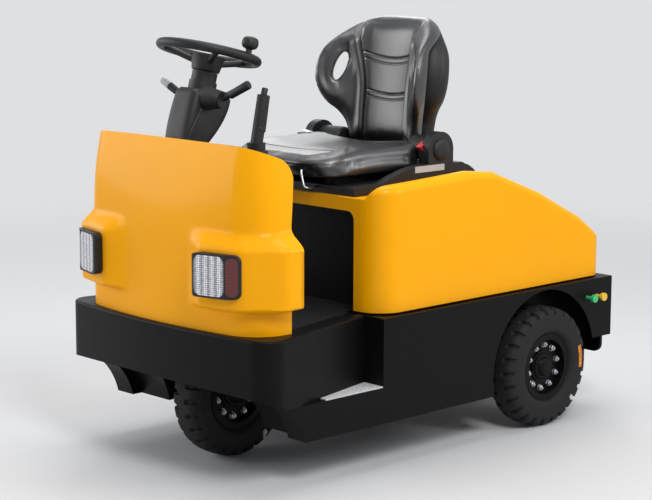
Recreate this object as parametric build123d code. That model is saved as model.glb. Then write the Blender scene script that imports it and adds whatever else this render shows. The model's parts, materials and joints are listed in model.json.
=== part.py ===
from build123d import *
from math import acos, atan2, cos, degrees, hypot, radians, sin, sqrt
import os

# Three-wheeled airport tow tractor. Millimetres, +Z up, -Y is the front, +X the vehicle's left.

# Lengths along the vehicle
WHEELBASE = 1030.0
FRONT_OVERHANG = 323.0
LAMP_PROUD = 40.0
REAR_OVERHANG = 362.0
JAW_OUT = 105.0

# Wheels
TRACK = 864.0
TYRE_R = 207.5
TYRE_W = 112.0
LUGS = 26
LUG_GAP = 13.0
LUG_DEPTH = 10.0
LUG_REACH = 38.0
BEAD_R = 101.0
FLANGE_R = 116.0
FLANGE_T = 5.0
RIM_W = 76.0
RIM_T = 6.0
DISC_FACE = 17.0
HUB_R = 55.0
HUB_INNER = 28.0
HUB_OUTER = 24.0
SPINDLE_R = 25.0
SPINDLE_TIP = 4.5
TUBE_R = 45.0
DRUM_R = 80.0
CASE_R = 100.0
CASE_NECK_R = 70.0
CASE_NECK = 105.0
MOTOR_R = 85.0
MOTOR_GAP = 25.0

# Clearances
RUNNING = 0.05
FIT = 0.3
HUB_CLEAR = 6.0

# Chassis plates
CHASSIS_W = 932.0
CHASSIS_BOTTOM = 145.0
CHASSIS_TOP = 483.0
PLATE = 10.0
SHEET = 8.0
SIDE_FLANGE = 60.0
ARCH_R = 268.0
SIDE_TAIL_Z = 271.0
REAR_PLATE = 12.0
REAR_SKIRT_IN = 36.0
REAR_SKIRT_Z = 200.0
SKIRT_R = 30.0
RAIL_INSET = 106.0
BELLY_GAP = 10.0

# Foot end: bumper, floor and the pods beside the front wheel
WELL_R = 245.0
WELL_LAP = 10.0
BUMPER_OUT = 21.0
BUMPER_CORNER_R = 70.0
BUMPER_BOW_R = 2870.0
BUMPER_TAIL_IN = 88.0
BUMPER_T = 12.0
BUMPER_BEND_R = 7.0
BUMPER_LEDGE = 70.0
BUMPER_LIFT = 50.0
POD_TOP = 262.0
POD_FOOT = 100.0
POD_NOSE = 170.0
POD_STEP_IN = 81.0
POD_STEP = 38.0
FLOOR_T = 10.0
MAT_T = 6.0
STEP_T = 4.0
STEP_L = 250.0
PANEL_BACK = 105.0
PANEL_DROP = 60.0

# Front wheel's knuckle
KINGPIN_R = 30.0
BEARING_R = 62.0
CROWN_T = 16.0
CROWN_GAP = 5.5
CROWN_L = 140.0
ARM_T = 30.0
ARM_GAP = 10.0

# Cowl: bowed front leaning back, round corners
COWL_H = 573.0
COWL_SETBACK = 20.0
COWL_DEEP = 196.0
COWL_INSET = 36.0
COWL_CORNER_R = 128.0
COWL_BOW_R = 2100.0
COWL_LEAN = 46.0
COWL_LEAN_IN = 26.0
COWL_T = 5.0
COWL_DROP = 62.0
COWL_TRAIL = 30.0
COWL_RIM_R = 45.0

# Lamps in raised pods at the cowl's corners
LAMP_UP = 187.0
LAMP_X = 236.0
LAMP_H = 134.0
LAMP_TURN = 15.0
LAMP_CORNER_R = 20.0
BEZEL_W = 10.0
LENS_W = 113.0
LENS_RIM = 6.0
LENS_CORNER_R = 22.0
LENS_T = 6.0
MARKER_W = 46.0
MARKER_RIM = 3.0
MARKER_TURN = 34.0
LAMP_DEEP = 62.0
LAMP_POD_OUT = 54.0
LAMP_POD_IN = 38.0
LAMP_POD_LOW = 103.0
LAMP_POD_HIGH = 112.0
LAMP_POD_EASE = 34.0
LAMP_POD_FRONT = 30.0
LAMP_POD_R = 62.0
LAMP_POD_BURY = 14.0

# Dash, column and steering wheel
SHELF_DROP = 28.0
DASH_T = 12.0
DASH_OVER = 40.0
DASH_LAP = 80.0
DASH_KNEE = 148.0
DASH_LIP = 28.0
DASH_IN = 127.0
DASH_CORNER_R = 40.0
COVER_HALF = 62.0
COVER_H = 232.0
COVER_NOSE = 106.0
COVER_TOP_NOSE = 35.0
COVER_TAIL = 134.0
COVER_KNEE = 84.0
COVER_KNEE_UP = 92.0
COVER_R = 14.0
COLUMN_TILT = 15.0
WHEEL_BACK = 44.0
WHEEL_UP = 280.0
WHEEL_RIM_R = 153.0
WHEEL_GRIP_R = 15.0
SPOKE_R = 10.0
WHEEL_DISH = 34.0
WHEEL_HUB_R = 54.0
HUB_DROP = 28.0
COLLAR_L = 60.0
COLLAR_R = 44.0
COLUMN_R = 40.0
SHAFT_R = 12.0
KNOB_R = 26.0
KNOB_H = 40.0
KNOB_NECK_R = 10.0
KNOB_ANGLE = 11.0
STALK_UP = 144.0
STALK_AHEAD = 11.0
BOOT_L = 66.0
BOOT_R = 33.0
BOOT_TIP_R = 20.0
LEVER_R = 11.0
SIGNAL_R = 10.0
BRAKE_X = 262.0
BRAKE_UP = 160.0
BRAKE_GRIP_R = 19.0
BRAKE_FOOT_R = 28.0
BRAKE_FOOT_H = 22.0
PEDAL_L = 85.0
PEDAL_T = 11.0
PEDAL_OUT = 56.0
PEDAL_UP = 50.0
PEDAL_ARM_R = 8.0
# Pedals: middle, width
PEDALS = ((-90.0, 90.0), (-215.0, 70.0))

# Hood
HOOD_INSET = 26.0
HOOD_T = 5.0
HOOD_GAP = 6.0
HOOD_LAP = 8.0
HOOD_TAIL_GAP = 14.0
HOOD_FRONT_R = 95.0
HOOD_REAR_R = 70.0
HOOD_EDGE_R = 30.0
# Top line seen from the side: share of the hood's length, height above the seat deck
HOOD_TOP_LINE = ((0, 42), (0.37, 62), (0.484, 49), (0.70, -42), (0.886, -144), (0.966, -206), (1, -265))
SEAT_DECK = 850.0
SHOULDER_W = 75.0
SEAT_DECK_L = 634.0
DECK_SLOPE = 40.0
MOUTH_IN = 120.0
MOUTH_DROP = 42.0
HINGE_X = 200.0
HINGE_W = 28.0
HINGE_PIN_R = 4.0
HINGE_R = 8.0
HINGE_LUG_R = 6.5
HINGE_RISE = 14.0
HINGE_BACK = 12.0

# Seat
BASE_W = 600.0
BASE_T = 30.0
BASE_HUMP = 48.0
HUMP_AT = 130.0
SLIDE_FRONT = 110.0
SLIDE_REAR = 60.0
CUSHION_W = 500.0
CUSHION_L = 467.0
CUSHION_T = 84.0
CUSHION_OVER = 73.0
CUSHION_CORNER_R = 130.0
CUSHION_EDGE_R = 28.0
SLIDE_H = 28.0
SLIDE_W = 40.0
SLIDE_X = 170.0
BACK_DROP = 30.0
BACK_H = 440.0
BACK_W = 486.0
BACK_FOOT_IN = 88.0
BACK_TOP_IN = 95.0
BACK_TOP_FALL = 130.0
BACK_WING_Z = 150.0
BACK_NECK_Z = 100.0
BACK_T = 72.0
BACK_CURVE_R = 310.0
BACK_SETBACK = 71.0
BACK_LEAN = 6.0
SHELL_T = 26.0
SHELL_INSET = 10.0
GRIP_IN = 53.0
GRIP_UP = 264.0
GRIP_LEAN = 8.0
GRIP_W = 40.0
GRIP_H = 110.0
RECLINER_R = 60.0
RECLINER_T = 34.0
RECLINER_UP = 92.0
RECLINER_AHEAD = 40.0
STRAP_W = 26.0
BELT_W = 22.0
BUCKLE_L = 34.0
BUCKLE_H = 30.0
BUCKLE_STEM = 8.0

# Tow jaw, tail lamps and buttons
JAW_W = 110.0
JAW_PLATE = 16.0
JAW_GAP = 42.0
JAW_Z = 230.0
JAW_LEVELS = 4
JAW_BACK = 12.0
PIN_R = 16.0
TAIL_LAMP_W = 120.0
TAIL_LAMP_H = 60.0
TAIL_LAMP_T = 22.0
TAIL_LAMP_DROP = 38.0
BUTTON_DROP = 61.0
BUTTON_R = 14.0
BUTTON_STEM_R = 6.0
BUTTON_OUT = 39.0
BUTTON_AHEAD = {"green": 139.0, "yellow": 88.0}

# Places worked out from the sizes above
LENGTH = LAMP_PROUD + FRONT_OVERHANG + WHEELBASE + REAR_OVERHANG + JAW_OUT
REAR_Y = LENGTH / 2 - JAW_OUT
REAR_IN_Y = REAR_Y - REAR_PLATE
REAR_AXLE_Y = REAR_Y - REAR_OVERHANG
FRONT_AXLE_Y = REAR_AXLE_Y - WHEELBASE
BUMPER_Y = FRONT_AXLE_Y - FRONT_OVERHANG
LAMP_Y = BUMPER_Y - LAMP_PROUD
SIDE_FRONT_Y = FRONT_AXLE_Y + WELL_R - WELL_LAP
BELLY_END_Y = REAR_AXLE_Y - ARCH_R - BELLY_GAP
PANEL_Y = SIDE_FRONT_Y + PANEL_BACK
COWL_Y = BUMPER_Y + COWL_SETBACK
COWL_REAR_Y = BUMPER_Y + COWL_DEEP
HALF = CHASSIS_W / 2
COWL_HALF = HALF - COWL_INSET
SIDE_IN = HALF - PLATE
RAIL_X = HALF - RAIL_INSET
POD_STEP_X = HALF - POD_STEP_IN
RAIL_IN = RAIL_X - PLATE
PLATE_TOP = CHASSIS_TOP - SHEET
FLOOR_Z = PLATE_TOP - FLOOR_T
BELLY_TOP = CHASSIS_BOTTOM + SHEET
COWL_TOP = CHASSIS_TOP + COWL_H
SHELF_Z = COWL_TOP - SHELF_DROP
LAMP_Z = CHASSIS_TOP + LAMP_UP
HOOD_Z = CHASSIS_TOP + HOOD_GAP
HOOD_HALF = HALF - HOOD_INSET
HOOD_FRONT_Y = SIDE_FRONT_Y + HOOD_LAP
HOOD_REAR_Y = REAR_Y - HOOD_TAIL_GAP
DECK_END_Y = HOOD_FRONT_Y + SEAT_DECK_L
BASE_TOP = SEAT_DECK + BASE_T
CUSHION_Z = BASE_TOP + SLIDE_H
CUSHION_TOP = CUSHION_Z + CUSHION_T
CUSHION_Y = HOOD_FRONT_Y - CUSHION_OVER
CUSHION_REAR_Y = CUSHION_Y + CUSHION_L
BACK_Z = CUSHION_TOP - BACK_DROP
BACK_FOOT = BACK_W / 2 - BACK_FOOT_IN
BACK_Y = CUSHION_REAR_Y + BACK_SETBACK
PIN_Y = LENGTH / 2 - JAW_W / 2


def block(x0, x1, y0, y1, z0, z1):
    """Box between two corners."""
    return Pos((x0 + x1) / 2, (y0 + y1) / 2, (z0 + z1) / 2) * Box(x1 - x0, y1 - y0, z1 - z0)


def polygon(*points):
    """Closed face with sharp corners."""
    return make_face(Polyline(*points, close=True).edges())


def rounded(points):
    """Closed face through (a, b, corner radius) points."""
    path = FilletPolyline(*[(a, b) for a, b, _ in points], radius=[r for _, _, r in points], close=True)
    return make_face(path.edges())


def fronted(front_y, half, corner, bow, tail):
    """Plan with a bowed front, round corners and sides that run to a tail point."""
    knee_x = (half - corner) / (1 - corner / bow)
    knee_y = front_y + bow - sqrt(bow * bow - knee_x * knee_x)
    cx, cy = half - corner, knee_y + corner * sqrt(1 - (knee_x / bow) ** 2)
    dx, dy = tail[0] - cx, tail[1] - cy
    end = atan2(dy, dx) - acos(corner / hypot(dx, dy))
    begin = atan2(knee_y - cy, knee_x - cx)
    middle = (begin + end) / 2
    turn = [(cx + corner * cos(a), cy + corner * sin(a)) for a in (begin, middle, end)]
    back = [(-x, y) for x, y in turn]
    edges = ThreePointArc(back[0], (0, front_y), turn[0]).edges()
    edges += ThreePointArc(*turn).edges()
    edges += Polyline(turn[2], tail, (-tail[0], tail[1]), back[2]).edges()
    edges += ThreePointArc(*reversed(back)).edges()
    return make_face(edges)


def across(face, x0, x1):
    """Side-view face (Y, Z) carried across from x0 to x1."""
    return Pos(x0, 0, 0) * extrude(Plane.YZ * face, amount=x1 - x0, dir=(1, 0, 0))


def upward(face, z0, z1):
    """Plan face (X, Y) carried from z0 to z1."""
    return Pos(0, 0, z0) * extrude(face, amount=z1 - z0, dir=(0, 0, 1))


def rearward(face, y0, y1):
    """Front-view face (X, Z) carried from y0 to y1."""
    return Pos(0, y0, 0) * extrude(Plane.XZ * face, amount=y1 - y0, dir=(0, 1, 0))


def rod(start, end, radius):
    """Round bar between two points."""
    way = Vector(*end) - Vector(*start)
    return extrude(Plane(origin=start, z_dir=way) * Circle(radius), amount=way.length)


def both(left):
    """A left-hand piece and its mirror image on the right."""
    return left + mirror(left, about=Plane.YZ)


def one(shape):
    """The largest solid of a shape."""
    return shape.solids().sort_by(SortBy.VOLUME)[-1]


def bumper_plan(inset):
    """Plan of the bumper's outer face, drawn in by an inset."""
    corner = max(BUMPER_CORNER_R - inset, 15.0)
    tail = (HALF - BUMPER_TAIL_IN - inset, SIDE_FRONT_Y)
    return fronted(BUMPER_Y + inset, HALF + BUMPER_OUT - inset, corner, BUMPER_BOW_R - inset, tail)


def rim():
    """Dished disc wheel about X, outer face to +X, with a blind hub bore."""
    half = RIM_W / 2
    lip = half + FLANGE_T
    inner = BEAD_R - RIM_T
    back = DISC_FACE - RIM_T
    bore = SPINDLE_R + RUNNING
    end = SPINDLE_TIP + 0.5
    face = polygon(
        (-lip, FLANGE_R), (-half, FLANGE_R), (-half, BEAD_R), (half, BEAD_R), (half, FLANGE_R),
        (lip, FLANGE_R), (lip, inner), (DISC_FACE, inner), (DISC_FACE, HUB_R), (HUB_OUTER, HUB_R),
        (HUB_OUTER, 0), (end, 0), (end, bore), (-HUB_INNER, bore),
        (-HUB_INNER, HUB_R), (back, HUB_R), (back, inner), (-lip, inner))
    return revolve(face, Axis.X)


def tyre():
    """Industrial tyre about X: solid section with staggered lugs on both shoulders."""
    half = TYRE_W / 2
    bead = RIM_W / 2 - FIT
    over = FLANGE_R + 1.0
    side = [
        (bead, BEAD_R), (bead, over), (half - 5, over + 6), (half, over + 20), (half, TYRE_R - 34),
        (half - 3, TYRE_R - 18), (half - 12, TYRE_R - 3), (half - 34, TYRE_R)]
    body = revolve(polygon(*side, *[(-x, r) for x, r in reversed(side)]), Axis.X)
    pitch = 360.0 / LUGS
    groove = block(half - LUG_REACH, half + 9, -LUG_GAP / 2, LUG_GAP / 2, TYRE_R - LUG_DEPTH, TYRE_R + 9)
    cuts = []
    for index in range(LUGS):
        cuts.append(Rot(index * pitch, 0, 0) * groove)
        cuts.append(Rot((index + 0.5) * pitch, 0, 0) * mirror(groove, about=Plane.YZ))
    return body - cuts


parts = {}

# Side plates with wheel arch, top flange and the return wall behind the step
arch = Pos(0, REAR_AXLE_Y, TYRE_R) * Rot(0, 90, 0) * Cylinder(ARCH_R, 4 * HALF)
side_face = polygon(
    (SIDE_FRONT_Y, CHASSIS_BOTTOM), (SIDE_FRONT_Y, CHASSIS_TOP), (REAR_IN_Y, CHASSIS_TOP),
    (REAR_IN_Y, SIDE_TAIL_Z), (REAR_AXLE_Y, SIDE_TAIL_Z), (REAR_AXLE_Y, CHASSIS_BOTTOM))
side = across(side_face, SIDE_IN, HALF) - arch
side += block(SIDE_IN - SIDE_FLANGE, SIDE_IN, SIDE_FRONT_Y, REAR_IN_Y, PLATE_TOP, CHASSIS_TOP)
side += block(RAIL_IN, SIDE_IN, SIDE_FRONT_Y, SIDE_FRONT_Y + PLATE, BELLY_TOP, CHASSIS_TOP)
parts["side_plate_left"] = side
parts["side_plate_right"] = mirror(side, about=Plane.YZ)

# Frame rails carry the rear axle and the battery
axle_hole = Pos(0, REAR_AXLE_Y, TYRE_R) * Rot(0, 90, 0) * Cylinder(TUBE_R + FIT, 4 * HALF)
rail = block(RAIL_IN, RAIL_X, SIDE_FRONT_Y + PLATE, REAR_IN_Y, BELLY_TOP, PLATE_TOP) - axle_hole
parts["frame_rails"] = both(rail)
parts["belly_plate"] = block(-SIDE_IN, SIDE_IN, SIDE_FRONT_Y, BELLY_END_Y, CHASSIS_BOTTOM, BELLY_TOP)

# Rear plate with a narrower skirt below and the hood's hinge lugs on top
skirt = HALF - REAR_SKIRT_IN
rear_face = rounded([
    (-HALF, CHASSIS_TOP, 0), (-HALF, SIDE_TAIL_Z, 0), (-skirt, SIDE_TAIL_Z, 0),
    (-skirt, REAR_SKIRT_Z, SKIRT_R), (skirt, REAR_SKIRT_Z, SKIRT_R), (skirt, SIDE_TAIL_Z, 0),
    (HALF, SIDE_TAIL_Z, 0), (HALF, CHASSIS_TOP, 0)])
hinge_y = HOOD_REAR_Y + HINGE_BACK
hinge_z = CHASSIS_TOP + HINGE_RISE
lug_x = HINGE_X + HINGE_W / 2 + 0.5
lug = block(lug_x, lug_x + REAR_PLATE, hinge_y - HINGE_LUG_R, REAR_Y, CHASSIS_TOP, hinge_z)
lug += rod((lug_x, hinge_y, hinge_z), (lug_x + REAR_PLATE, hinge_y, hinge_z), HINGE_LUG_R)
lug += rod((HINGE_X - HINGE_W / 2, hinge_y, hinge_z), (lug_x, hinge_y, hinge_z), HINGE_PIN_R)
parts["rear_plate"] = rearward(rear_face, REAR_IN_Y, REAR_Y) + both(lug)

# Bumper: bent band with a top ledge, its lower edge rising to the front
bumper = upward(bumper_plan(0), POD_TOP, CHASSIS_TOP)
bend = bumper.edges().group_by(Axis.Z)[-1].filter_by(lambda e: e.center().Y < SIDE_FRONT_Y - 1)
bumper = fillet(bend, BUMPER_BEND_R)
bumper -= upward(bumper_plan(BUMPER_T), 0, PLATE_TOP)
bumper -= upward(bumper_plan(BUMPER_LEDGE), 0, 2 * CHASSIS_TOP)
rise_y = FRONT_AXLE_Y - POD_NOSE
rise = polygon((BUMPER_Y, POD_TOP + BUMPER_LIFT), (rise_y, POD_TOP), (rise_y, 0), (BUMPER_Y - 99, 0),
               (BUMPER_Y - 99, POD_TOP + BUMPER_LIFT))
bumper -= across(rise, -LENGTH, LENGTH)
tail_gap = block(
    -RAIL_IN, RAIL_IN, SIDE_FRONT_Y - BUMPER_LEDGE, SIDE_FRONT_Y + 1, PLATE_TOP - 1, CHASSIS_TOP + 1)
parts["bumper"] = bumper - tail_gap

# Floor box: two pods around the front wheel's well, each with a set-back inner nose
well = Pos(0, FRONT_AXLE_Y, FLOOR_Z / 2) * Cylinder(WELL_R, 2 * FLOOR_Z)
foot_y = FRONT_AXLE_Y - POD_FOOT
nose_y = FRONT_AXLE_Y - POD_NOSE
nose = ThreePointArc((foot_y, CHASSIS_BOTTOM), (foot_y - 34, CHASSIS_BOTTOM + 76), (nose_y, POD_TOP))
pod_edge = Polyline((nose_y, POD_TOP), (SIDE_FRONT_Y, POD_TOP), (SIDE_FRONT_Y, CHASSIS_BOTTOM),
                    (foot_y, CHASSIS_BOTTOM))
pod_face = make_face(nose.edges() + pod_edge.edges())
low = across(pod_face, POD_STEP_X, HALF)
low += Pos(0, POD_STEP, 0) * across(pod_face, 0, POD_STEP_X) - block(
    0, HALF, SIDE_FRONT_Y, SIDE_FRONT_Y + POD_STEP, 0, CHASSIS_TOP)
high = upward(bumper_plan(BUMPER_T + FIT), POD_TOP, FLOOR_Z)
high &= block(0, HALF, nose_y + POD_STEP + 9, SIDE_FRONT_Y, POD_TOP, FLOOR_Z)
parts["floor_box"] = both(low + high - well)

# Floor plate with the kingpin's bearing below it
crown_z = 2 * TYRE_R + CROWN_GAP
bearing_z = crown_z + CROWN_T + 0.5
kingpin_at = Pos(0, FRONT_AXLE_Y, 0)
floor = upward(bumper_plan(BUMPER_T + FIT), FLOOR_Z, PLATE_TOP)
floor += block(FIT - RAIL_IN, RAIL_IN - FIT, SIDE_FRONT_Y, PANEL_Y + PLATE, FLOOR_Z, PLATE_TOP)
floor += kingpin_at * Pos(0, 0, (bearing_z + FLOOR_Z) / 2) * Cylinder(BEARING_R, FLOOR_Z - bearing_z)
parts["floor_plate"] = floor - kingpin_at * rod((0, 0, crown_z), (0, 0, CHASSIS_TOP), KINGPIN_R + RUNNING)

# Mat on the foot floor, inside the bumper's ledge
mat_plan = bumper_plan(BUMPER_LEDGE + 1.0) + Pos(0, (SIDE_FRONT_Y + PANEL_Y) / 2) * Rectangle(
    2 * (RAIL_IN - BUMPER_LEDGE), PANEL_Y - SIDE_FRONT_Y)
mat = upward(mat_plan, PLATE_TOP, PLATE_TOP + MAT_T)
parts["floor_mat"] = mat & block(-HALF, HALF, COWL_REAR_Y + 1, PANEL_Y, PLATE_TOP, PLATE_TOP + MAT_T)

# Step plates on the pods, outside the bumper's side plates
step = block(0, HALF - 2, SIDE_FRONT_Y - STEP_L, SIDE_FRONT_Y, POD_TOP, POD_TOP + STEP_T)
parts["steps"] = both(one(step - upward(bumper_plan(-FIT), POD_TOP - 1, POD_TOP + STEP_T + 1)))

# Steer knuckle: kingpin, crown, single arm on the right, drum and stub axle
arm_x = TYRE_W / 2 + ARM_GAP
knuckle = block(-arm_x - ARM_T, arm_x, -CROWN_L / 2, CROWN_L / 2, crown_z, crown_z + CROWN_T)
knuckle += rod((0, 0, crown_z), (0, 0, PLATE_TOP - 1), KINGPIN_R)
arm_face = rounded([(-CROWN_L / 2, crown_z, 0), (CROWN_L / 2, crown_z, 0),
                    (CROWN_L / 2, TYRE_R - DRUM_R + 10, 60), (-CROWN_L / 2, TYRE_R - DRUM_R + 10, 60)])
knuckle += across(arm_face, -arm_x - ARM_T, -arm_x)
knuckle += rod((-arm_x, 0, TYRE_R), (-HUB_INNER - HUB_CLEAR, 0, TYRE_R), DRUM_R)
knuckle += rod((-arm_x, 0, TYRE_R), (SPINDLE_TIP, 0, TYRE_R), SPINDLE_R)
parts["steer_knuckle"] = kingpin_at * knuckle

# Wheels
wheel_rim = rim()
wheel_tyre = tyre()
front_at = Pos(0, FRONT_AXLE_Y, TYRE_R)
left_at = Pos(TRACK / 2, REAR_AXLE_Y, TYRE_R)
parts["front_rim"] = front_at * wheel_rim
parts["front_tyre"] = front_at * wheel_tyre
parts["rear_rim_left"] = left_at * wheel_rim
parts["rear_tyre_left"] = left_at * wheel_tyre
parts["rear_rim_right"] = mirror(left_at * wheel_rim, about=Plane.YZ)
parts["rear_tyre_right"] = mirror(left_at * wheel_tyre, about=Plane.YZ)

# Rear axle between the rails, its drums inside the rims, and the drive motor behind it
drum_in = RAIL_X + 4
drum_out = TRACK / 2 - HUB_INNER - HUB_CLEAR
spindle_end = TRACK / 2 + SPINDLE_TIP
axle = rod((-drum_in, 0, 0), (drum_in, 0, 0), TUBE_R)
axle += rod((-spindle_end, 0, 0), (spindle_end, 0, 0), SPINDLE_R)
axle += both(rod((drum_in, 0, 0), (drum_out, 0, 0), DRUM_R))
axle += Sphere(CASE_R)
axle += rod((0, 0, 0), (0, CASE_NECK, 0), CASE_NECK_R)
parts["rear_axle"] = Pos(0, REAR_AXLE_Y, TYRE_R) * axle
motor_y = REAR_AXLE_Y + CASE_NECK
parts["drive_motor"] = rod((0, motor_y, TYRE_R), (0, REAR_IN_Y - MOTOR_GAP, TYRE_R), MOTOR_R)

# Battery between the rails, and the panel below the seat's front
battery_y = PANEL_Y + PLATE + 17
parts["battery"] = block(
    8 - RAIL_IN, RAIL_IN - 8, battery_y, BELLY_END_Y - 5, BELLY_TOP, SEAT_DECK - PANEL_DROP - 100)
parts["seat_front_panel"] = block(
    FIT - RAIL_IN, RAIL_IN - FIT, PANEL_Y, PANEL_Y + PLATE, PLATE_TOP, SEAT_DECK - PANEL_DROP)


def cowl_form(grow):
    """Form of the cowl, grown or shrunk, lofted through four plans that lean back to the top."""
    plans = []
    for share, lean in ((0, 0), (0.48, 0), (0.76, 0.34), (1, 1)):
        half = COWL_HALF - lean * COWL_LEAN_IN + grow
        plan = fronted(
            COWL_Y + lean * COWL_LEAN - grow, half, COWL_CORNER_R - 30 * lean + grow,
            COWL_BOW_R * (1 + 2 * lean), (half, COWL_REAR_Y + 60))
        plans.append(Pos(0, 0, CHASSIS_TOP + share * COWL_H) * plan)
    return loft(plans)


def lamp_plan(back):
    """Plan of a left lamp: bezel and lens in the front facet, marker in the outer facet."""
    turn = radians(LAMP_TURN)
    out = radians(MARKER_TURN)
    wide = BEZEL_W + LENS_W
    bx, by = LAMP_X + wide * cos(turn), LAMP_Y + wide * sin(turn)
    cx, cy = bx + MARKER_W * cos(out), by + MARKER_W * sin(out)
    return rounded([(LAMP_X, LAMP_Y, 8), (bx, by, 4), (cx, cy, 6), (cx, LAMP_Y + back + 40, 0),
                    (LAMP_X, LAMP_Y + back, 0)])


def facet(start_x, start_y, turn, along, inset):
    """Plane in the middle of a lamp's facet, facing out."""
    a = radians(turn)
    mid = (start_x + along * cos(a), start_y + along * sin(a), LAMP_Z)
    plane = Plane(origin=mid, x_dir=(cos(a), sin(a), 0), z_dir=(sin(a), -cos(a), 0))
    return plane.offset(inset)


# Cowl shell, open behind, its rim falling to the rear, with raised pods for the lamps
inner = cowl_form(-COWL_T)
trail_z = LAMP_Z + LAMP_POD_HIGH + LAMP_POD_EASE
behind = across(polygon(
    (COWL_REAR_Y, 0), (COWL_REAR_Y, trail_z), (COWL_REAR_Y + COWL_TRAIL, COWL_TOP + 1),
    (LENGTH, COWL_TOP + 1), (LENGTH, 0)), -LENGTH, LENGTH)
fall = COWL_TOP - COWL_DROP
rim_cut = rounded([
    (COWL_Y - 99, COWL_TOP - 1, 0), (COWL_Y + COWL_LEAN, COWL_TOP - 1, 60),
    (COWL_REAR_Y + COWL_TRAIL - 4, fall, COWL_RIM_R), (COWL_REAR_Y + COWL_TRAIL / 3, fall - COWL_DROP, 0),
    (LENGTH, fall - COWL_DROP, 0), (LENGTH, COWL_TOP + 9, 0), (COWL_Y - 99, COWL_TOP + 9, 0)])
shell = cowl_form(0) - inner - behind - across(rim_cut, -LENGTH, LENGTH)


def pod_plan(share):
    """Plan of a left lamp pod, from buried in the cowl (0) to standing full out (1)."""
    side = COWL_HALF - LAMP_POD_BURY + share * (LAMP_POD_OUT + LAMP_POD_BURY)
    sunk = COWL_Y + 2 * LAMP_POD_BURY
    front = sunk + share * (LAMP_Y + LAMP_POD_FRONT - sunk)
    inner = LAMP_X - LAMP_POD_IN
    return rounded([
        (inner, COWL_REAR_Y, 0), (inner, sunk, 0), (LAMP_X, front, 6),
        (COWL_HALF - LAMP_POD_IN, front + LAMP_POD_EASE, LAMP_POD_R),
        (side, COWL_REAR_Y - LAMP_POD_R, LAMP_POD_R), (side, COWL_REAR_Y, 0)])


pod_levels = (
    (LAMP_Z - LAMP_POD_LOW - LAMP_POD_EASE / 3, 0), (LAMP_Z - LAMP_POD_LOW, 1),
    (LAMP_Z + LAMP_POD_HIGH - LAMP_POD_EASE, 1), (LAMP_Z + LAMP_POD_HIGH + LAMP_POD_EASE / 2, 0))
pod = loft([Pos(0, 0, level) * pod_plan(share) for level, share in pod_levels], ruled=True)
lamp_low = LAMP_Z - LAMP_H / 2
lamp_high = LAMP_Z + LAMP_H / 2
lamp_out = LAMP_X + (BEZEL_W + LENS_W) * cos(radians(LAMP_TURN)) + MARKER_W * cos(radians(MARKER_TURN))
lamp_face = rounded([
    (LAMP_X, lamp_low, LAMP_CORNER_R), (lamp_out, lamp_low, LAMP_CORNER_R),
    (lamp_out, lamp_high, LAMP_CORNER_R), (LAMP_X, lamp_high, LAMP_CORNER_R)])
lamp = upward(lamp_plan(LAMP_DEEP), lamp_low, lamp_high) & rearward(lamp_face, -LENGTH, LENGTH)
pocket = upward(offset(lamp_plan(LAMP_DEEP), amount=FIT), lamp_low - FIT, lamp_high + FIT)
pocket &= rearward(offset(lamp_face, amount=FIT), -LENGTH, LENGTH)
parts["cowl"] = one(shell + both(pod - inner)) - both(pocket)

# Lenses stand in the front facet, marker lenses in the outer facet
lens_end = BEZEL_W + LENS_W
lens_plane = facet(LAMP_X, LAMP_Y, LAMP_TURN, BEZEL_W + LENS_W / 2, 0)
lens_face = RectangleRounded(LENS_W - LENS_RIM, LAMP_H - 2 * LENS_RIM, LENS_CORNER_R)
lens = extrude(lens_plane * lens_face, amount=-LENS_T)
marker_x = LAMP_X + lens_end * cos(radians(LAMP_TURN))
marker_y = LAMP_Y + lens_end * sin(radians(LAMP_TURN))
marker_plane = facet(marker_x, marker_y, MARKER_TURN, MARKER_W / 2, 0)
marker_face = RectangleRounded(
    MARKER_W - 2 * MARKER_RIM, LAMP_H - 2 * LENS_RIM - 2 * MARKER_RIM, LAMP_CORNER_R - MARKER_RIM)
marker = extrude(marker_plane * marker_face, amount=-LENS_T)
parts["headlamp_housings"] = both(lamp - lens - marker)
parts["headlamp_lenses"] = both(lens)
parts["marker_lenses"] = both(marker)

# Dash panel: shelf inside the cowl's rim and a wall down to the floor
wall_top = SHELF_Z - DASH_KNEE
dash_face = rounded([
    (COWL_Y, SHELF_Z - DASH_T, 0), (COWL_REAR_Y, SHELF_Z - DASH_T, 40), (COWL_REAR_Y, wall_top, 30),
    (COWL_REAR_Y - DASH_T, PLATE_TOP, 0), (COWL_REAR_Y, PLATE_TOP, 0), (COWL_REAR_Y + DASH_T, wall_top, 30),
    (COWL_REAR_Y + DASH_OVER, SHELF_Z - DASH_LIP, DASH_T), (COWL_REAR_Y + DASH_OVER - 4, SHELF_Z, 10),
    (COWL_Y, SHELF_Z, 0)])
in_cowl = cowl_form(-COWL_T - FIT)
dash_half = COWL_HALF - DASH_IN
dash = across(dash_face, -HALF, HALF) & in_cowl
dash -= behind
dash -= across(Pos(0, -COWL_T - FIT) * rim_cut, -LENGTH, LENGTH)
dash_end = COWL_REAR_Y + DASH_OVER
over = rounded([
    (-dash_half, COWL_REAR_Y - DASH_LAP, 0), (dash_half, COWL_REAR_Y - DASH_LAP, 0),
    (dash_half, dash_end, DASH_CORNER_R), (-dash_half, dash_end, DASH_CORNER_R)])
dash += across(dash_face, -dash_half, dash_half) & upward(over, PLATE_TOP, SHELF_Z)
ledge_gap = upward(bumper_plan(0), 0, CHASSIS_TOP) - upward(bumper_plan(BUMPER_LEDGE + FIT), 0, CHASSIS_TOP)
parts["dash_panel"] = one(dash - ledge_gap)

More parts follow.
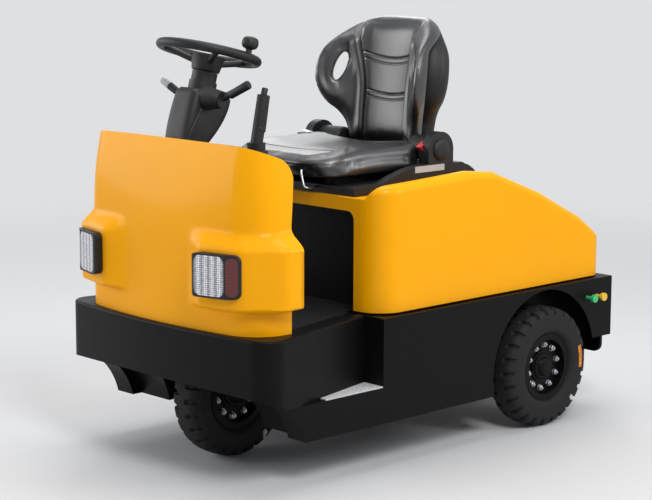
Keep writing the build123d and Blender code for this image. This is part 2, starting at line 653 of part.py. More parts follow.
# Column cover on the shelf, cut square to the column at its top
tilt = radians(COLUMN_TILT)
wheel_mid = Vector(0, COWL_REAR_Y + WHEEL_BACK, SHELF_Z + WHEEL_UP)
up_column = Vector(0, sin(tilt), cos(tilt))
collar_top = wheel_mid - up_column * (WHEEL_DISH + HUB_DROP)
cover_top = collar_top - up_column * COLLAR_L
cover_face = rounded([
    (COWL_REAR_Y - COVER_NOSE, SHELF_Z, 0), (COWL_REAR_Y - COVER_TOP_NOSE, SHELF_Z + COVER_H, 0),
    (COWL_REAR_Y + COVER_TAIL, SHELF_Z + COVER_H, 0), (COWL_REAR_Y + COVER_KNEE, SHELF_Z + COVER_KNEE_UP, 60),
    (COWL_REAR_Y, SHELF_Z, 0)])
cover = across(cover_face, -COVER_HALF, COVER_HALF)
cover = fillet(cover.edges().filter_by(
    lambda e: abs(abs(e.center().X) - COVER_HALF) < 0.01 and e.center().Z > SHELF_Z + 1), COVER_R)
top_plane = Plane(origin=cover_top, x_dir=(1, 0, 0), z_dir=up_column)
parts["column_cover"] = split(cover, bisect_by=top_plane, keep=Keep.BOTTOM)
column = rod(cover_top, cover_top + up_column * COLLAR_L / 2, COLLAR_R)
column += rod(cover_top, collar_top, COLUMN_R)
parts["steering_column"] = column + rod(collar_top, wheel_mid - up_column * (SHAFT_R + 2), SHAFT_R)

# Steering wheel, built flat then tilted, with a spinner knob on its rim
wheel = Torus(WHEEL_RIM_R, WHEEL_GRIP_R)
for angle in (90, 210, 330):
    wheel += Rot(0, 0, angle) * rod((SHAFT_R * 2, 0, -WHEEL_DISH), (WHEEL_RIM_R, 0, 0), SPOKE_R)
hub_low = -WHEEL_DISH - HUB_DROP + 4
wheel += Pos(0, 0, hub_low) * Cone(
    COLLAR_R, WHEEL_HUB_R, HUB_DROP + 20, align=(Align.CENTER, Align.CENTER, Align.MIN))
wheel -= rod((0, 0, hub_low - 1), (0, 0, -SHAFT_R - 1), SHAFT_R + RUNNING)
knob_low = WHEEL_GRIP_R + KNOB_NECK_R
knob_face = make_face(
    Polyline((0, knob_low + KNOB_H), (0, 0), (KNOB_NECK_R, 0), (KNOB_NECK_R, knob_low)).edges()
    + Spline((KNOB_NECK_R, knob_low), (KNOB_R, knob_low + KNOB_H / 2), (0, knob_low + KNOB_H),
             tangents=[(1, 0.2), (-1, 0)]).edges())
knob = Pos(WHEEL_RIM_R, 0, 0) * revolve(Plane.XZ * knob_face, Axis.Z)
wheel += Rot(0, 0, KNOB_ANGLE) * knob
parts["steering_wheel"] = Pos(wheel_mid) * Rot(-COLUMN_TILT, 0, 0) * wheel

# Stalks: direction lever in a boot on the left, signal stalk on the right
stalk = Vector(COVER_HALF, COWL_REAR_Y - STALK_AHEAD, SHELF_Z + STALK_UP)
boot_end = stalk + Vector(BOOT_L, 0, 0)
boot = Pos(stalk) * Rot(0, 90, 0) * Cone(
    BOOT_R, BOOT_TIP_R, BOOT_L, align=(Align.CENTER, Align.CENTER, Align.MIN))
lever = rod(boot_end - Vector(LEVER_R, 0, 0), boot_end + Vector(87, 30, 50), LEVER_R)
signal_start = Vector(-COVER_HALF, stalk.Y, stalk.Z)
signal = rod(signal_start + Vector(SIGNAL_R, 2, -5), signal_start + Vector(-78, -16, 46), SIGNAL_R)
parts["column_stalks"] = boot + lever + signal - parts["column_cover"]

# Parking brake lever on a dome at the dash's left end
brake = Vector(BRAKE_X, COWL_REAR_Y + 8, SHELF_Z)
grip_top = brake + Vector(0, 30, BRAKE_UP)
handle = rod(brake, brake + Vector(0, 0, BRAKE_FOOT_H), BRAKE_FOOT_R)
handle += rod(brake + Vector(0, 0, BRAKE_FOOT_H * 0.7), grip_top, BRAKE_GRIP_R)
parts["parking_brake"] = handle + rod(grip_top, grip_top + Vector(0, 3, 14), BRAKE_GRIP_R / 2)

# Brake and accelerator pedals on short arms from the dash wall
pedals = []
for pedal_x, pedal_w in PEDALS:
    foot = Vector(pedal_x, COWL_REAR_Y + PEDAL_OUT, CHASSIS_TOP + PEDAL_UP)
    pad = Pos(foot) * Rot(45, 0, 0) * Box(pedal_w, PEDAL_L, PEDAL_T)
    pad += rod((pedal_x, COWL_REAR_Y - DASH_T, CHASSIS_TOP + PEDAL_UP), foot, PEDAL_ARM_R)
    pedals.append(one(pad - parts["dash_panel"]))
parts["pedals"] = pedals[0] + pedals[1]


def hood_form(inset):
    """Form of the hood, drawn in by an inset: its plan cut along each slope of the top line."""
    half = HOOD_HALF - inset
    front = HOOD_FRONT_Y + inset
    rear = HOOD_REAR_Y - inset
    low = HOOD_Z - 2 * inset
    edge = HOOD_EDGE_R - inset
    form = upward(rounded([
        (-half, front, HOOD_FRONT_R - inset), (half, front, HOOD_FRONT_R - inset),
        (half, rear, HOOD_REAR_R - inset), (-half, rear, HOOD_REAR_R - inset)]), low, low + LENGTH)
    run = HOOD_REAR_Y - HOOD_FRONT_Y
    line = [Vector(0, HOOD_FRONT_Y + share * run, SEAT_DECK + rise) for share, rise in HOOD_TOP_LINE]
    bar = rearward(rounded([
        (-half - 0.5, -2 * LENGTH, 0), (half + 0.5, -2 * LENGTH, 0), (half + 0.5, 0, edge),
        (-half - 0.5, 0, edge)]), -2 * LENGTH, 2 * LENGTH)
    for start, end in zip(line, line[1:]):
        slope = atan2(end.Z - start.Z, end.Y - start.Y)
        up = Vector(0, -sin(slope), cos(slope))
        if start is line[0]:
            level = Plane(origin=start - up * inset, x_dir=(1, 0, 0), z_dir=up)
            form = split(form, bisect_by=level, keep=Keep.BOTTOM)
            form = fillet(form.faces().filter_by(lambda f: f.normal_at().dot(up) > 0.999).edges(), edge)
        else:
            form &= Pos(start - up * inset) * Rot(degrees(slope), 0, 0) * bar
    return form


def deck_cut(inset):
    """Recess for the seat between the hood's shoulders."""
    low = SEAT_DECK - inset
    half = HOOD_HALF - SHOULDER_W + inset
    top = SEAT_DECK + 2 * DECK_SLOPE
    face = polygon((-half, low), (half, low), (half + DECK_SLOPE, low + 50), (half + DECK_SLOPE, top),
                   (-half - DECK_SLOPE, top), (-half - DECK_SLOPE, low + 50))
    return rearward(face, HOOD_FRONT_Y - 9, DECK_END_Y + inset)


# Hood shell with the seat deck, the mouth above the foot well and hinge barrels at the rear
hood = (hood_form(0) - deck_cut(0)) - (hood_form(HOOD_T) - deck_cut(HOOD_T))
mouth_x = HOOD_HALF - MOUTH_IN
mouth = rounded([
    (-mouth_x, 0, 0), (mouth_x, 0, 0), (mouth_x, SEAT_DECK - MOUTH_DROP, 30),
    (-mouth_x, SEAT_DECK - MOUTH_DROP, 30)])
hood -= rearward(mouth, HOOD_FRONT_Y - 9, HOOD_FRONT_Y + HOOD_FRONT_R)
ends = [(HINGE_X + side * HINGE_W / 2, hinge_y, hinge_z) for side in (-1, 1)]
barrel = rod(*ends, HINGE_R)
barrel += block(
    HINGE_X - HINGE_W / 2, HINGE_X + HINGE_W / 2, HOOD_REAR_Y - 2, hinge_y, hinge_z - 5, hinge_z + 5)
parts["hood"] = hood + both(barrel) - both(rod(*ends, HINGE_PIN_R + RUNNING))

# Seat base on the deck, with its hump behind the seat
base_face = rounded([
    (HOOD_FRONT_Y + 20, SEAT_DECK, 0), (HOOD_FRONT_Y + 20, BASE_TOP, 8),
    (CUSHION_REAR_Y - 10, BASE_TOP, 60), (CUSHION_REAR_Y + HUMP_AT, BASE_TOP + BASE_HUMP, 30),
    (DECK_END_Y - 5, SEAT_DECK + 20, 15), (DECK_END_Y - 5, SEAT_DECK, 0)])
parts["seat_base"] = across(base_face, -BASE_W / 2, BASE_W / 2)
slide = block(
    SLIDE_X - SLIDE_W / 2, SLIDE_X + SLIDE_W / 2, CUSHION_Y + SLIDE_FRONT, CUSHION_REAR_Y - SLIDE_REAR,
    BASE_TOP, CUSHION_Z)
parts["seat_rails"] = both(slide)

cushion_plan = rounded([
    (-CUSHION_W / 2, CUSHION_Y, CUSHION_CORNER_R), (CUSHION_W / 2, CUSHION_Y, CUSHION_CORNER_R),
    (CUSHION_W / 2, CUSHION_REAR_Y, 40), (-CUSHION_W / 2, CUSHION_REAR_Y, 40)])
cushion = upward(cushion_plan, CUSHION_Z, CUSHION_TOP)
parts["seat_cushion"] = fillet(cushion.edges().group_by(Axis.Z)[-1], CUSHION_EDGE_R)


def back_layer(radius, thick, inset):
    """Curved layer of the backrest, leaning back, cut to its outline drawn in by an inset."""
    mid = BACK_Y - BACK_CURVE_R
    ring = Pos(0, mid) * (Circle(radius + thick) - Circle(radius))
    ring &= Pos(0, mid + BACK_CURVE_R) * Rectangle(1.1 * BACK_W, 2 * BACK_CURVE_R)
    lean = radians(BACK_LEAN)
    layer = Pos(0, 0, BACK_Z) * extrude(ring, amount=1.2 * BACK_H, dir=(0, sin(lean), cos(lean)), both=True)
    half = BACK_W / 2 - inset
    foot = BACK_FOOT - inset
    top = BACK_Z + BACK_H - inset
    right = [
        (half - BACK_TOP_IN, top, 130), (half, top - BACK_TOP_FALL, 150), (half, BACK_Z + BACK_WING_Z, 90),
        (foot + 5, BACK_Z + BACK_NECK_Z, 50), (foot, BACK_Z, 20)]
    left = [(-x, z, r) for x, z, r in reversed(right)]
    return layer & rearward(rounded(right + left), -LENGTH, LENGTH)


grip_shape = extrude(SlotOverall(GRIP_H, GRIP_W, rotation=90), LENGTH, both=True)
grip_shape = Rot(90, 0, 0) * Rot(0, 0, -GRIP_LEAN) * grip_shape
grips = both(Pos(BACK_W / 2 - GRIP_IN, 0, BACK_Z + GRIP_UP) * grip_shape)
parts["seat_back"] = back_layer(BACK_CURVE_R, BACK_T, 0) - grips
parts["seat_shell"] = back_layer(BACK_CURVE_R + BACK_T, SHELL_T, SHELL_INSET) - grips

# Recliner covers beside the seat, with a strap to the shell
recliner_y = BACK_Y - RECLINER_AHEAD
recliner_z = BASE_TOP + RECLINER_UP
outer_x = BASE_W / 2
inner_x = outer_x - RECLINER_T
recliner = rod((inner_x, recliner_y, recliner_z), (outer_x, recliner_y, recliner_z), RECLINER_R)
recliner += block(inner_x, outer_x, recliner_y - RECLINER_R, recliner_y + RECLINER_R, BASE_TOP, recliner_z)
strap = block(
    BACK_FOOT - STRAP_W, inner_x + 1, recliner_y + RECLINER_R - STRAP_W, recliner_y + RECLINER_R,
    recliner_z - STRAP_W, recliner_z + STRAP_W)
seat_solids = parts["seat_base"] + parts["seat_back"] + parts["seat_shell"]
parts["recliner_covers"] = both(one(recliner + strap - seat_solids))

buckle_x = CUSHION_W / 2 + FIT
buckle_y = CUSHION_REAR_Y - BUCKLE_L
buckle = block(buckle_x, buckle_x + BUCKLE_STEM, buckle_y, CUSHION_REAR_Y, BASE_TOP, CUSHION_TOP)
head = block(0, BELT_W, -BUCKLE_L / 2, BUCKLE_L / 2, 0, BUCKLE_H)
buckle += Pos(buckle_x, CUSHION_REAR_Y - BUCKLE_L / 2, CUSHION_TOP - BUCKLE_H / 2) * Rot(25, 0, 0) * head
parts["belt_buckle"] = one(buckle - parts["seat_base"] - parts["recliner_covers"])
retractor = block(
    -buckle_x - 2 * BELT_W, -buckle_x - FIT, CUSHION_REAR_Y - 3 * BELT_W, CUSHION_REAR_Y - BELT_W,
    BASE_TOP, CUSHION_TOP)
parts["belt_retractor"] = one(retractor - parts["seat_base"] - parts["recliner_covers"])

# Tow jaw: level plates on a back plate, one pin hole through them all
jaw_step = JAW_PLATE + JAW_GAP
jaw_top = JAW_Z + (JAW_LEVELS - 1) * jaw_step + JAW_PLATE
jaw_plan = make_face(
    Polyline((-JAW_W / 2, PIN_Y), (-JAW_W / 2, REAR_Y), (JAW_W / 2, REAR_Y), (JAW_W / 2, PIN_Y)).edges()
    + ThreePointArc((JAW_W / 2, PIN_Y), (0, PIN_Y + JAW_W / 2), (-JAW_W / 2, PIN_Y)).edges())
jaw = block(-JAW_W / 2 - 15, JAW_W / 2 + 15, REAR_Y, REAR_Y + JAW_BACK, JAW_Z - 10, jaw_top + 10)
for level in range(JAW_LEVELS):
    jaw += upward(jaw_plan, JAW_Z + level * jaw_step, JAW_Z + level * jaw_step + JAW_PLATE)
parts["tow_jaw"] = jaw - Pos(0, PIN_Y, JAW_Z) * Cylinder(PIN_R, 4 * jaw_top)

tail_x = HALF - REAR_SKIRT_IN - TAIL_LAMP_W / 2 - 10
tail_z = CHASSIS_TOP - TAIL_LAMP_DROP - TAIL_LAMP_H / 2
tail = Pos(tail_x, REAR_Y + TAIL_LAMP_T / 2, tail_z) * Box(TAIL_LAMP_W, TAIL_LAMP_T, TAIL_LAMP_H)
parts["tail_lamps"] = both(fillet(tail.edges().filter_by(Axis.Y), 12))

# Inching buttons low on both sides near the rear
for colour, ahead in BUTTON_AHEAD.items():
    stem = Vector(HALF, REAR_Y - ahead, CHASSIS_TOP - BUTTON_DROP)
    cap = stem + Vector(BUTTON_OUT - 11, 0, 0)
    button = rod(stem, cap, BUTTON_STEM_R) + rod(cap, cap + Vector(11, 0, 0), BUTTON_R)
    parts["inching_buttons_" + colour] = both(button)

os.makedirs("parts", exist_ok=True)
for name, shape in parts.items():
    export_step(shape, "parts/" + name + ".step")
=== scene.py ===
import json
from math import cos, pi, radians, sin

import bmesh
import bpy
import numpy as np
from mathutils import Matrix, Vector


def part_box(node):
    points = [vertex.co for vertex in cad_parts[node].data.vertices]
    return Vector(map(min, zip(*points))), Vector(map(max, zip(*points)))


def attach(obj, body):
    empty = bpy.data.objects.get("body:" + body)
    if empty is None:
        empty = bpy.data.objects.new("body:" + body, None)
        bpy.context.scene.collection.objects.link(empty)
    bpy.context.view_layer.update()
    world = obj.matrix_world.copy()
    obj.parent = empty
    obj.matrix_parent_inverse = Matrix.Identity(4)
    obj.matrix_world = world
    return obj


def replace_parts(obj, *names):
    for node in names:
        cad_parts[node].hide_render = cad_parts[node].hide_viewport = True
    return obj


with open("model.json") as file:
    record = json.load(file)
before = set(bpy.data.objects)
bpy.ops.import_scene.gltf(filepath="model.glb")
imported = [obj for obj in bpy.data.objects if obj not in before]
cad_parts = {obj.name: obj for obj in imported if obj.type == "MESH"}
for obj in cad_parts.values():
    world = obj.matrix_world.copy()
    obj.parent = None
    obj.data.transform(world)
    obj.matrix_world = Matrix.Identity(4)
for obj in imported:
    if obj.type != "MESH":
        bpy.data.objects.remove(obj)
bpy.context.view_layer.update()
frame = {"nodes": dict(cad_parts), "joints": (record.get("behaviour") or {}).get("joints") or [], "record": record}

bl_info = {
    "name": "Airport Tow Tractor",
    "version": (1, 0, 0),
    "blender": (4, 5, 0),
    "location": "View3D > Sidebar > Tractor",
    "description": "Dresses a small seated tow tractor: shell, seat, tyres, lamps, controls and stage",
    "category": "Object",
}

NODES = frame["nodes"]
JOINTS = {joint["name"]: joint for joint in frame["joints"]}


def linear(code):
    """Linear RGBA of an sRGB hex value: c/12.92 below 0.04045, else ((c + 0.055)/1.055)^2.4."""
    srgb = np.array([int(code[i:i + 2], 16) for i in (0, 2, 4)]) / 255
    low = srgb / 12.92
    high = ((srgb + 0.055) / 1.055) ** 2.4
    return (*np.where(srgb <= 0.04045, low, high).tolist(), 1.0)


class TractorColours(bpy.types.PropertyGroup):
    """Colours of the tractor's finishes."""
    shell: bpy.props.FloatVectorProperty(
        name="Shell", description="Gel coat of the cowl and hood", subtype="COLOR", size=4,
        min=0, max=1, default=linear("F6A800"))
    paint: bpy.props.FloatVectorProperty(
        name="Paint", description="Powder coat of the bumper and chassis", subtype="COLOR", size=4,
        min=0, max=1, default=linear("0E0E0F"))
    vinyl: bpy.props.FloatVectorProperty(
        name="Vinyl", description="Seat cover", subtype="COLOR", size=4,
        min=0, max=1, default=linear("111113"))
    plastic: bpy.props.FloatVectorProperty(
        name="Plastic", description="Moulded controls and covers", subtype="COLOR", size=4,
        min=0, max=1, default=linear("151516"))
    rubber: bpy.props.FloatVectorProperty(
        name="Rubber", description="Tyres", subtype="COLOR", size=4,
        min=0, max=1, default=linear("1C1C1D"))
    marker: bpy.props.FloatVectorProperty(
        name="Marker red", description="Marker and tail lamp lenses", subtype="COLOR", size=4,
        min=0, max=1, default=linear("7A1512"))
    stripe: bpy.props.FloatVectorProperty(
        name="Tyre stripe", description="Paint stripe on the rear sidewall", subtype="COLOR", size=4,
        min=0, max=1, default=linear("D9862B"))


class TractorSizes(bpy.types.PropertyGroup):
    """Sizes of the details that the scene adds."""
    lugs: bpy.props.IntProperty(
        name="Lugs", description="Lugs on each shoulder of a tyre", default=26, min=12, max=40)
    lug_gap: bpy.props.FloatProperty(
        name="Lug gap", description="Width of the groove between two lugs", default=0.014,
        min=0.004, max=0.03, subtype="DISTANCE", unit="LENGTH")
    lug_depth: bpy.props.FloatProperty(
        name="Lug depth", description="Depth of the groove between two lugs", default=0.010,
        min=0.002, max=0.02, subtype="DISTANCE", unit="LENGTH")
    nuts: bpy.props.IntProperty(
        name="Wheel nuts", description="Nuts on a wheel's pitch circle", default=10, min=4, max=16)
    nut_circle: bpy.props.FloatProperty(
        name="Nut circle", description="Radius of the nuts' pitch circle", default=0.076,
        min=0.05, max=0.09, subtype="DISTANCE", unit="LENGTH")
    seam_depth: bpy.props.FloatProperty(
        name="Seam depth", description="Depth of a sewn seam in the seat cover", default=0.0035,
        min=0.0, max=0.01, subtype="DISTANCE", unit="LENGTH")
    puff: bpy.props.FloatProperty(
        name="Puff", description="How far the foam may swell the seat cover", default=0.006,
        min=0.0, max=0.02, subtype="DISTANCE", unit="LENGTH")


def add(tree, kind, settings=None, links=None):
    """One node with its settings (socket values or attributes) and its links {socket: (node, output)}."""
    item = tree.nodes.new(kind)
    for name, value in (settings or {}).items():
        if isinstance(name, int) or name in item.inputs:
            item.inputs[name].default_value = value
        else:
            setattr(item, name, value)
    for socket, (source, output) in (links or {}).items():
        tree.links.new(source.outputs[output], item.inputs[socket])
    return item


def material(name, settings):
    """A Principled material with its constant sockets set; returns it, its tree, its shader and the link that
    gives a pattern the Object coordinates."""
    made = bpy.data.materials.new(name)
    made.use_nodes = True
    tree = made.node_tree
    tree.nodes.clear()
    shader = add(tree, "ShaderNodeBsdfPrincipled", settings)
    add(tree, "ShaderNodeOutputMaterial", None, {"Surface": (shader, "BSDF")})
    return made, tree, shader, {"Vector": (add(tree, "ShaderNodeTexCoord"), "Object")}


def bumped(tree, shader, height, strength, distance):
    """Feeds a height (node, output) to the shader's normal as a bump of that depth in metres."""
    bump = add(tree, "ShaderNodeBump", {"Strength": strength, "Distance": distance}, {"Height": height})
    tree.links.new(bump.outputs["Normal"], shader.inputs["Normal"])


def varied(tree, shader, socket, source, low, high):
    """Maps a 0 to 1 pattern (node, output) to a range on one of the shader's value sockets."""
    span = add(tree, "ShaderNodeMapRange", {"To Min": low, "To Max": high}, {"Value": source})
    tree.links.new(span.outputs["Result"], shader.inputs[socket])


def tinted(tree, shader, source, dark, light):
    """Mixes two colours by a 0 to 1 pattern (node, output) into the shader's base colour."""
    mix = add(tree, "ShaderNodeMix", {"data_type": "RGBA", 6: dark, 7: light}, {"Factor": source})
    tree.links.new(mix.outputs[2], shader.inputs["Base Color"])


def scaled(colour, factor):
    """A colour made darker or lighter by a factor."""
    return (*[min(1.0, c * factor) for c in colour[:3]], 1.0)


def make_materials(colours):
    """All finishes, by the record's slot that they dress. A pattern's scale is one over its size."""
    found = {}

    # Gel-coated fibreglass, waxed: soft gloss over an even yellow, with faint long waves from the mould
    made, tree, shader, at = material("gelcoat_fibreglass", {
        "Roughness": 0.42, "IOR": 1.5, "Specular IOR Level": 0.08,
        "Coat Weight": 0.16, "Coat Roughness": 0.15})
    waves = add(tree, "ShaderNodeTexNoise", {"Scale": 1 / 0.110, "Detail": 1.0}, at)
    cloud = add(tree, "ShaderNodeTexNoise", {"Scale": 1 / 0.300, "Detail": 3.0}, at)
    tinted(tree, shader, (cloud, "Fac"), scaled(colours.shell, 0.94), scaled(colours.shell, 1.05))
    bumped(tree, shader, (waves, "Fac"), 0.12, 0.004)
    found["yellow_shell"] = made

    # Powder-coated steel plate: satin black with a fine orange peel about 1.8 mm across and light dust
    made, tree, shader, at = material("powder_coated_steel", {"IOR": 1.5, "Specular IOR Level": 0.09})
    peel = add(tree, "ShaderNodeTexNoise", {"Scale": 1 / 0.0018, "Detail": 1.0}, at)
    dust = add(tree, "ShaderNodeTexNoise", {"Scale": 1 / 0.120, "Detail": 6.0, "Roughness": 0.6}, at)
    tinted(tree, shader, (dust, "Fac"), scaled(colours.paint, 0.7), scaled(colours.paint, 1.2))
    varied(tree, shader, "Roughness", (dust, "Fac"), 0.30, 0.50)
    bumped(tree, shader, (peel, "Fac"), 0.10, 0.0004)
    found["black_paint"] = made

    # Injection-moulded polypropylene: matt black, its spark-eroded grain drawn 1.6 mm across to show
    made, tree, shader, at = material("moulded_polypropylene", {"IOR": 1.49, "Specular IOR Level": 0.38})
    grain = add(tree, "ShaderNodeTexVoronoi", {"Scale": 1 / 0.0016}, at)
    wear = add(tree, "ShaderNodeTexNoise", {"Scale": 1 / 0.060, "Detail": 4.0}, at)
    tinted(tree, shader, (wear, "Fac"), scaled(colours.plastic, 0.85), scaled(colours.plastic, 1.25))
    varied(tree, shader, "Roughness", (wear, "Fac"), 0.42, 0.58)
    bumped(tree, shader, (grain, "Distance"), 0.25, 0.0004)
    found["black_plastic"] = made

    # Vacuum-formed PVC skin on foam: soft sheen, leather grain of cells about 3 mm across
    made, tree, shader, at = material("pvc_leathercloth", {"IOR": 1.52, "Specular IOR Level": 1.0})
    cells = add(tree, "ShaderNodeTexVoronoi", {"feature": "DISTANCE_TO_EDGE", "Scale": 1 / 0.0030}, at)
    creases = add(tree, "ShaderNodeMapRange", {"From Max": 0.12}, {"Value": (cells, "Distance")})
    handled = add(tree, "ShaderNodeTexNoise", {"Scale": 1 / 0.080, "Detail": 3.0}, at)
    tinted(tree, shader, (handled, "Fac"), scaled(colours.vinyl, 0.85), scaled(colours.vinyl, 1.2))
    varied(tree, shader, "Roughness", (handled, "Fac"), 0.25, 0.35)
    bumped(tree, shader, (creases, "Result"), 0.18, 0.0004)
    found["black_vinyl"] = made

    # Moulded rubber mat: dull black with round studs 18 mm apart
    made, tree, shader, at = material("moulded_rubber_mat", {
        "Roughness": 0.85, "IOR": 1.5, "Specular IOR Level": 0.15})
    studs = add(tree, "ShaderNodeTexVoronoi", {"Scale": 1 / 0.018, "Randomness": 0.0}, at)
    heads = add(tree, "ShaderNodeMapRange", {"From Min": 0.42, "From Max": 0.34},
                {"Value": (studs, "Distance")})
    grit = add(tree, "ShaderNodeTexNoise", {"Scale": 1 / 0.030, "Detail": 5.0}, at)
    tinted(tree, shader, (grit, "Fac"), linear("0E0E0F"), linear("1B1B1B"))
    bumped(tree, shader, (heads, "Result"), 0.8, 0.0015)
    found["floor_rubber"] = made

    # Filled tyre rubber: dull charcoal, paler where the ground dust has stuck
    made, tree, shader, at = material("filled_tyre_rubber", {"IOR": 1.5, "Specular IOR Level": 0.22})
    dusty = add(tree, "ShaderNodeTexNoise", {"Scale": 1 / 0.045, "Detail": 6.0, "Roughness": 0.65}, at)
    pores = add(tree, "ShaderNodeTexNoise", {"Scale": 1 / 0.0025, "Detail": 2.0}, at)
    tinted(tree, shader, (dusty, "Fac"), scaled(colours.rubber, 0.75), scaled(colours.rubber, 1.6))
    varied(tree, shader, "Roughness", (dusty, "Fac"), 0.62, 0.85)
    bumped(tree, shader, (pores, "Fac"), 0.2, 0.0005)
    found["tyre_rubber"] = made

    # Aluminium tread plate, scuffed by boots: bright raised bars about 12 mm apart on a duller ground
    made, tree, shader, at = material("aluminium_tread_plate", {"Metallic": 0.25})
    bars = add(tree, "ShaderNodeTexVoronoi", {"Scale": 1 / 0.012, "Randomness": 0.35}, at)
    raised = add(tree, "ShaderNodeMapRange", {"From Min": 0.45, "From Max": 0.25},
                 {"Value": (bars, "Distance")})
    tinted(tree, shader, (raised, "Result"), linear("C9CBCD"), linear("FBFBFC"))
    varied(tree, shader, "Roughness", (raised, "Result"), 0.55, 0.32)
    bumped(tree, shader, (raised, "Result"), 0.7, 0.0015)
    found["step_aluminium"] = made

    # Grey moulded ABS: plain light grey with a fine grain about 1.2 mm across
    made, tree, shader, at = material("grey_abs", {"Roughness": 0.42, "IOR": 1.53})
    speck = add(tree, "ShaderNodeTexNoise", {"Scale": 1 / 0.0012, "Detail": 2.0}, at)
    tinted(tree, shader, (speck, "Fac"), linear("A6A7A9"), linear("BEBFC1"))
    found["grey_plastic"] = made

    # Zinc-plated steel: bright grey with cloudy roughness, in clouds about 12 mm across
    made, tree, shader, at = material("zinc_plated_steel", {"Metallic": 1.0})
    cloudy = add(tree, "ShaderNodeTexNoise", {"Scale": 1 / 0.012, "Detail": 4.0}, at)
    tinted(tree, shader, (cloudy, "Fac"), linear("8E9094"), linear("C4C6C8"))
    varied(tree, shader, "Roughness", (cloudy, "Fac"), 0.22, 0.42)
    found["bare_steel"] = made

    # Painted iron casting: black over a sand-cast skin with lumps about 4 mm across
    made, tree, shader, at = material("painted_iron_casting", {"IOR": 1.5})
    sand = add(tree, "ShaderNodeTexNoise", {"Scale": 1 / 0.0040, "Detail": 4.0}, at)
    tinted(tree, shader, (sand, "Fac"), linear("121213"), linear("2A2A2B"))
    varied(tree, shader, "Roughness", (sand, "Fac"), 0.45, 0.65)
    bumped(tree, shader, (sand, "Fac"), 0.35, 0.0008)
    found["cast_iron_black"] = made

    # Clear polycarbonate over a silvered reflector, prisms 6.5 mm apart: the base colour is a painted reflection
    # of the reflector, white on each prism's face and darker at its edges
    made, tree, shader, at = material("prismatic_polycarbonate", {
        "Roughness": 0.10, "IOR": 1.58, "Coat Weight": 0.5, "Coat Roughness": 0.03})
    prisms = add(tree, "ShaderNodeTexVoronoi", {"Scale": 1 / 0.0065, "Randomness": 0.15}, at)
    sparkle = add(tree, "ShaderNodeTexNoise", {"Scale": 1 / 0.030, "Detail": 2.0}, at)
    faces = add(tree, "ShaderNodeMapRange",
                {"From Min": 0.15, "From Max": 0.62, "To Min": 1.0, "To Max": 0.0},
                {"Value": (prisms, "Distance")})
    # Painted reflection: the reflector's light drawn into the lens's colour, brightest in the middle of each prism
    tinted(tree, shader, (faces, "Result"), linear("7A8087"), linear("FFFFFF"))
    varied(tree, shader, "Metallic", (sparkle, "Fac"), 0.1, 0.6)
    bumped(tree, shader, (prisms, "Distance"), 0.7, 0.0025)
    found["clear_lens"] = made

    # Red acrylic lens: deep red gloss with inner ribs about 10 mm apart, 0.314 of the wave's inverse scale
    made, tree, shader, at = material("red_acrylic", {
        "Roughness": 0.16, "IOR": 1.49, "Coat Weight": 0.6, "Coat Roughness": 0.04})
    ribs = add(tree, "ShaderNodeTexWave", {"Scale": 1 / 0.0314, "bands_direction": "Z"}, at)
    tinted(tree, shader, (ribs, "Fac"), scaled(colours.marker, 0.40), scaled(colours.marker, 0.62))
    bumped(tree, shader, (ribs, "Fac"), 0.3, 0.0008)
    found["red_lens"] = made

    # Moulded battery case: dark grey polypropylene with flow marks
    made, tree, shader, at = material("battery_case_polypropylene", {"IOR": 1.49})
    flow = add(tree, "ShaderNodeTexNoise", {"Scale": 1 / 0.070, "Detail": 4.0}, at)
    tinted(tree, shader, (flow, "Fac"), linear("2A2A2D"), linear("3A3A3E"))
    varied(tree, shader, "Roughness", (flow, "Fac"), 0.5, 0.65)
    found["battery_case"] = made

    # Glossy ABS push buttons and buckle: even colour with a slight moulding cloud
    for slot, name, dark, light in (
            ("green_button", "green_abs", "1F9A55", "3CC27A"),
            ("yellow_button", "yellow_abs", "D9A21C", "F2C63E"),
            ("red_plastic", "red_abs", "B3201F", "D8383A")):
        made, tree, shader, at = material(name, {"Roughness": 0.28, "IOR": 1.53, "Coat Weight": 0.3})
        mottle = add(tree, "ShaderNodeTexNoise", {"Scale": 1 / 0.010, "Detail": 2.0}, at)
        tinted(tree, shader, (mottle, "Fac"), linear(dark), linear(light))
        found[slot] = made

    # Road-marking paint on rubber: chalky, worn through in places
    for slot, name, light in (("orange_mark", "orange_marking_paint", tuple(colours.stripe)),
                              ("white_mark", "white_marking_paint", linear("D8D6D0"))):
        made, tree, shader, at = material(name, {"Roughness": 0.8, "IOR": 1.45})
        worn = add(tree, "ShaderNodeTexNoise", {"Scale": 1 / 0.006, "Detail": 5.0}, at)
        cut = add(tree, "ShaderNodeMapRange", {"From Min": 0.35, "From Max": 0.5}, {"Value": (worn, "Fac")})
        tinted(tree, shader, (cut, "Result"), scaled(light, 0.35), light)
        found[slot] = made
    return found


FINISHES = {}


def sheet_of(points, close_u=False, close_v=False):
    """Quads over a grid of points: each joins (i, j), (i+1, j), (i+1, j+1), (i, j+1)."""
    rows, columns = points.shape[:2]
    index = np.arange(rows * columns).reshape(rows, columns)
    if close_u:
        index = np.vstack([index, index[:1]])
    if close_v:
        index = np.hstack([index, index[:, :1]])
    quads = np.stack([index[:-1, :-1], index[1:, :-1], index[1:, 1:], index[:-1, 1:]], -1)
    return points.reshape(-1, 3), quads.reshape(-1, 4)


def border(grid):
    """The points round a grid's edge, in order."""
    return np.concatenate([grid[0], grid[1:, -1], grid[-1, -2::-1], grid[-2:0:-1, 0]])


def slab(front, back):
    """Closed thin slab between two grids of points: both faces and the strip round their edge."""
    strip = np.stack([border(front), border(back)])
    return [sheet_of(front), sheet_of(back), sheet_of(strip, close_v=True)]


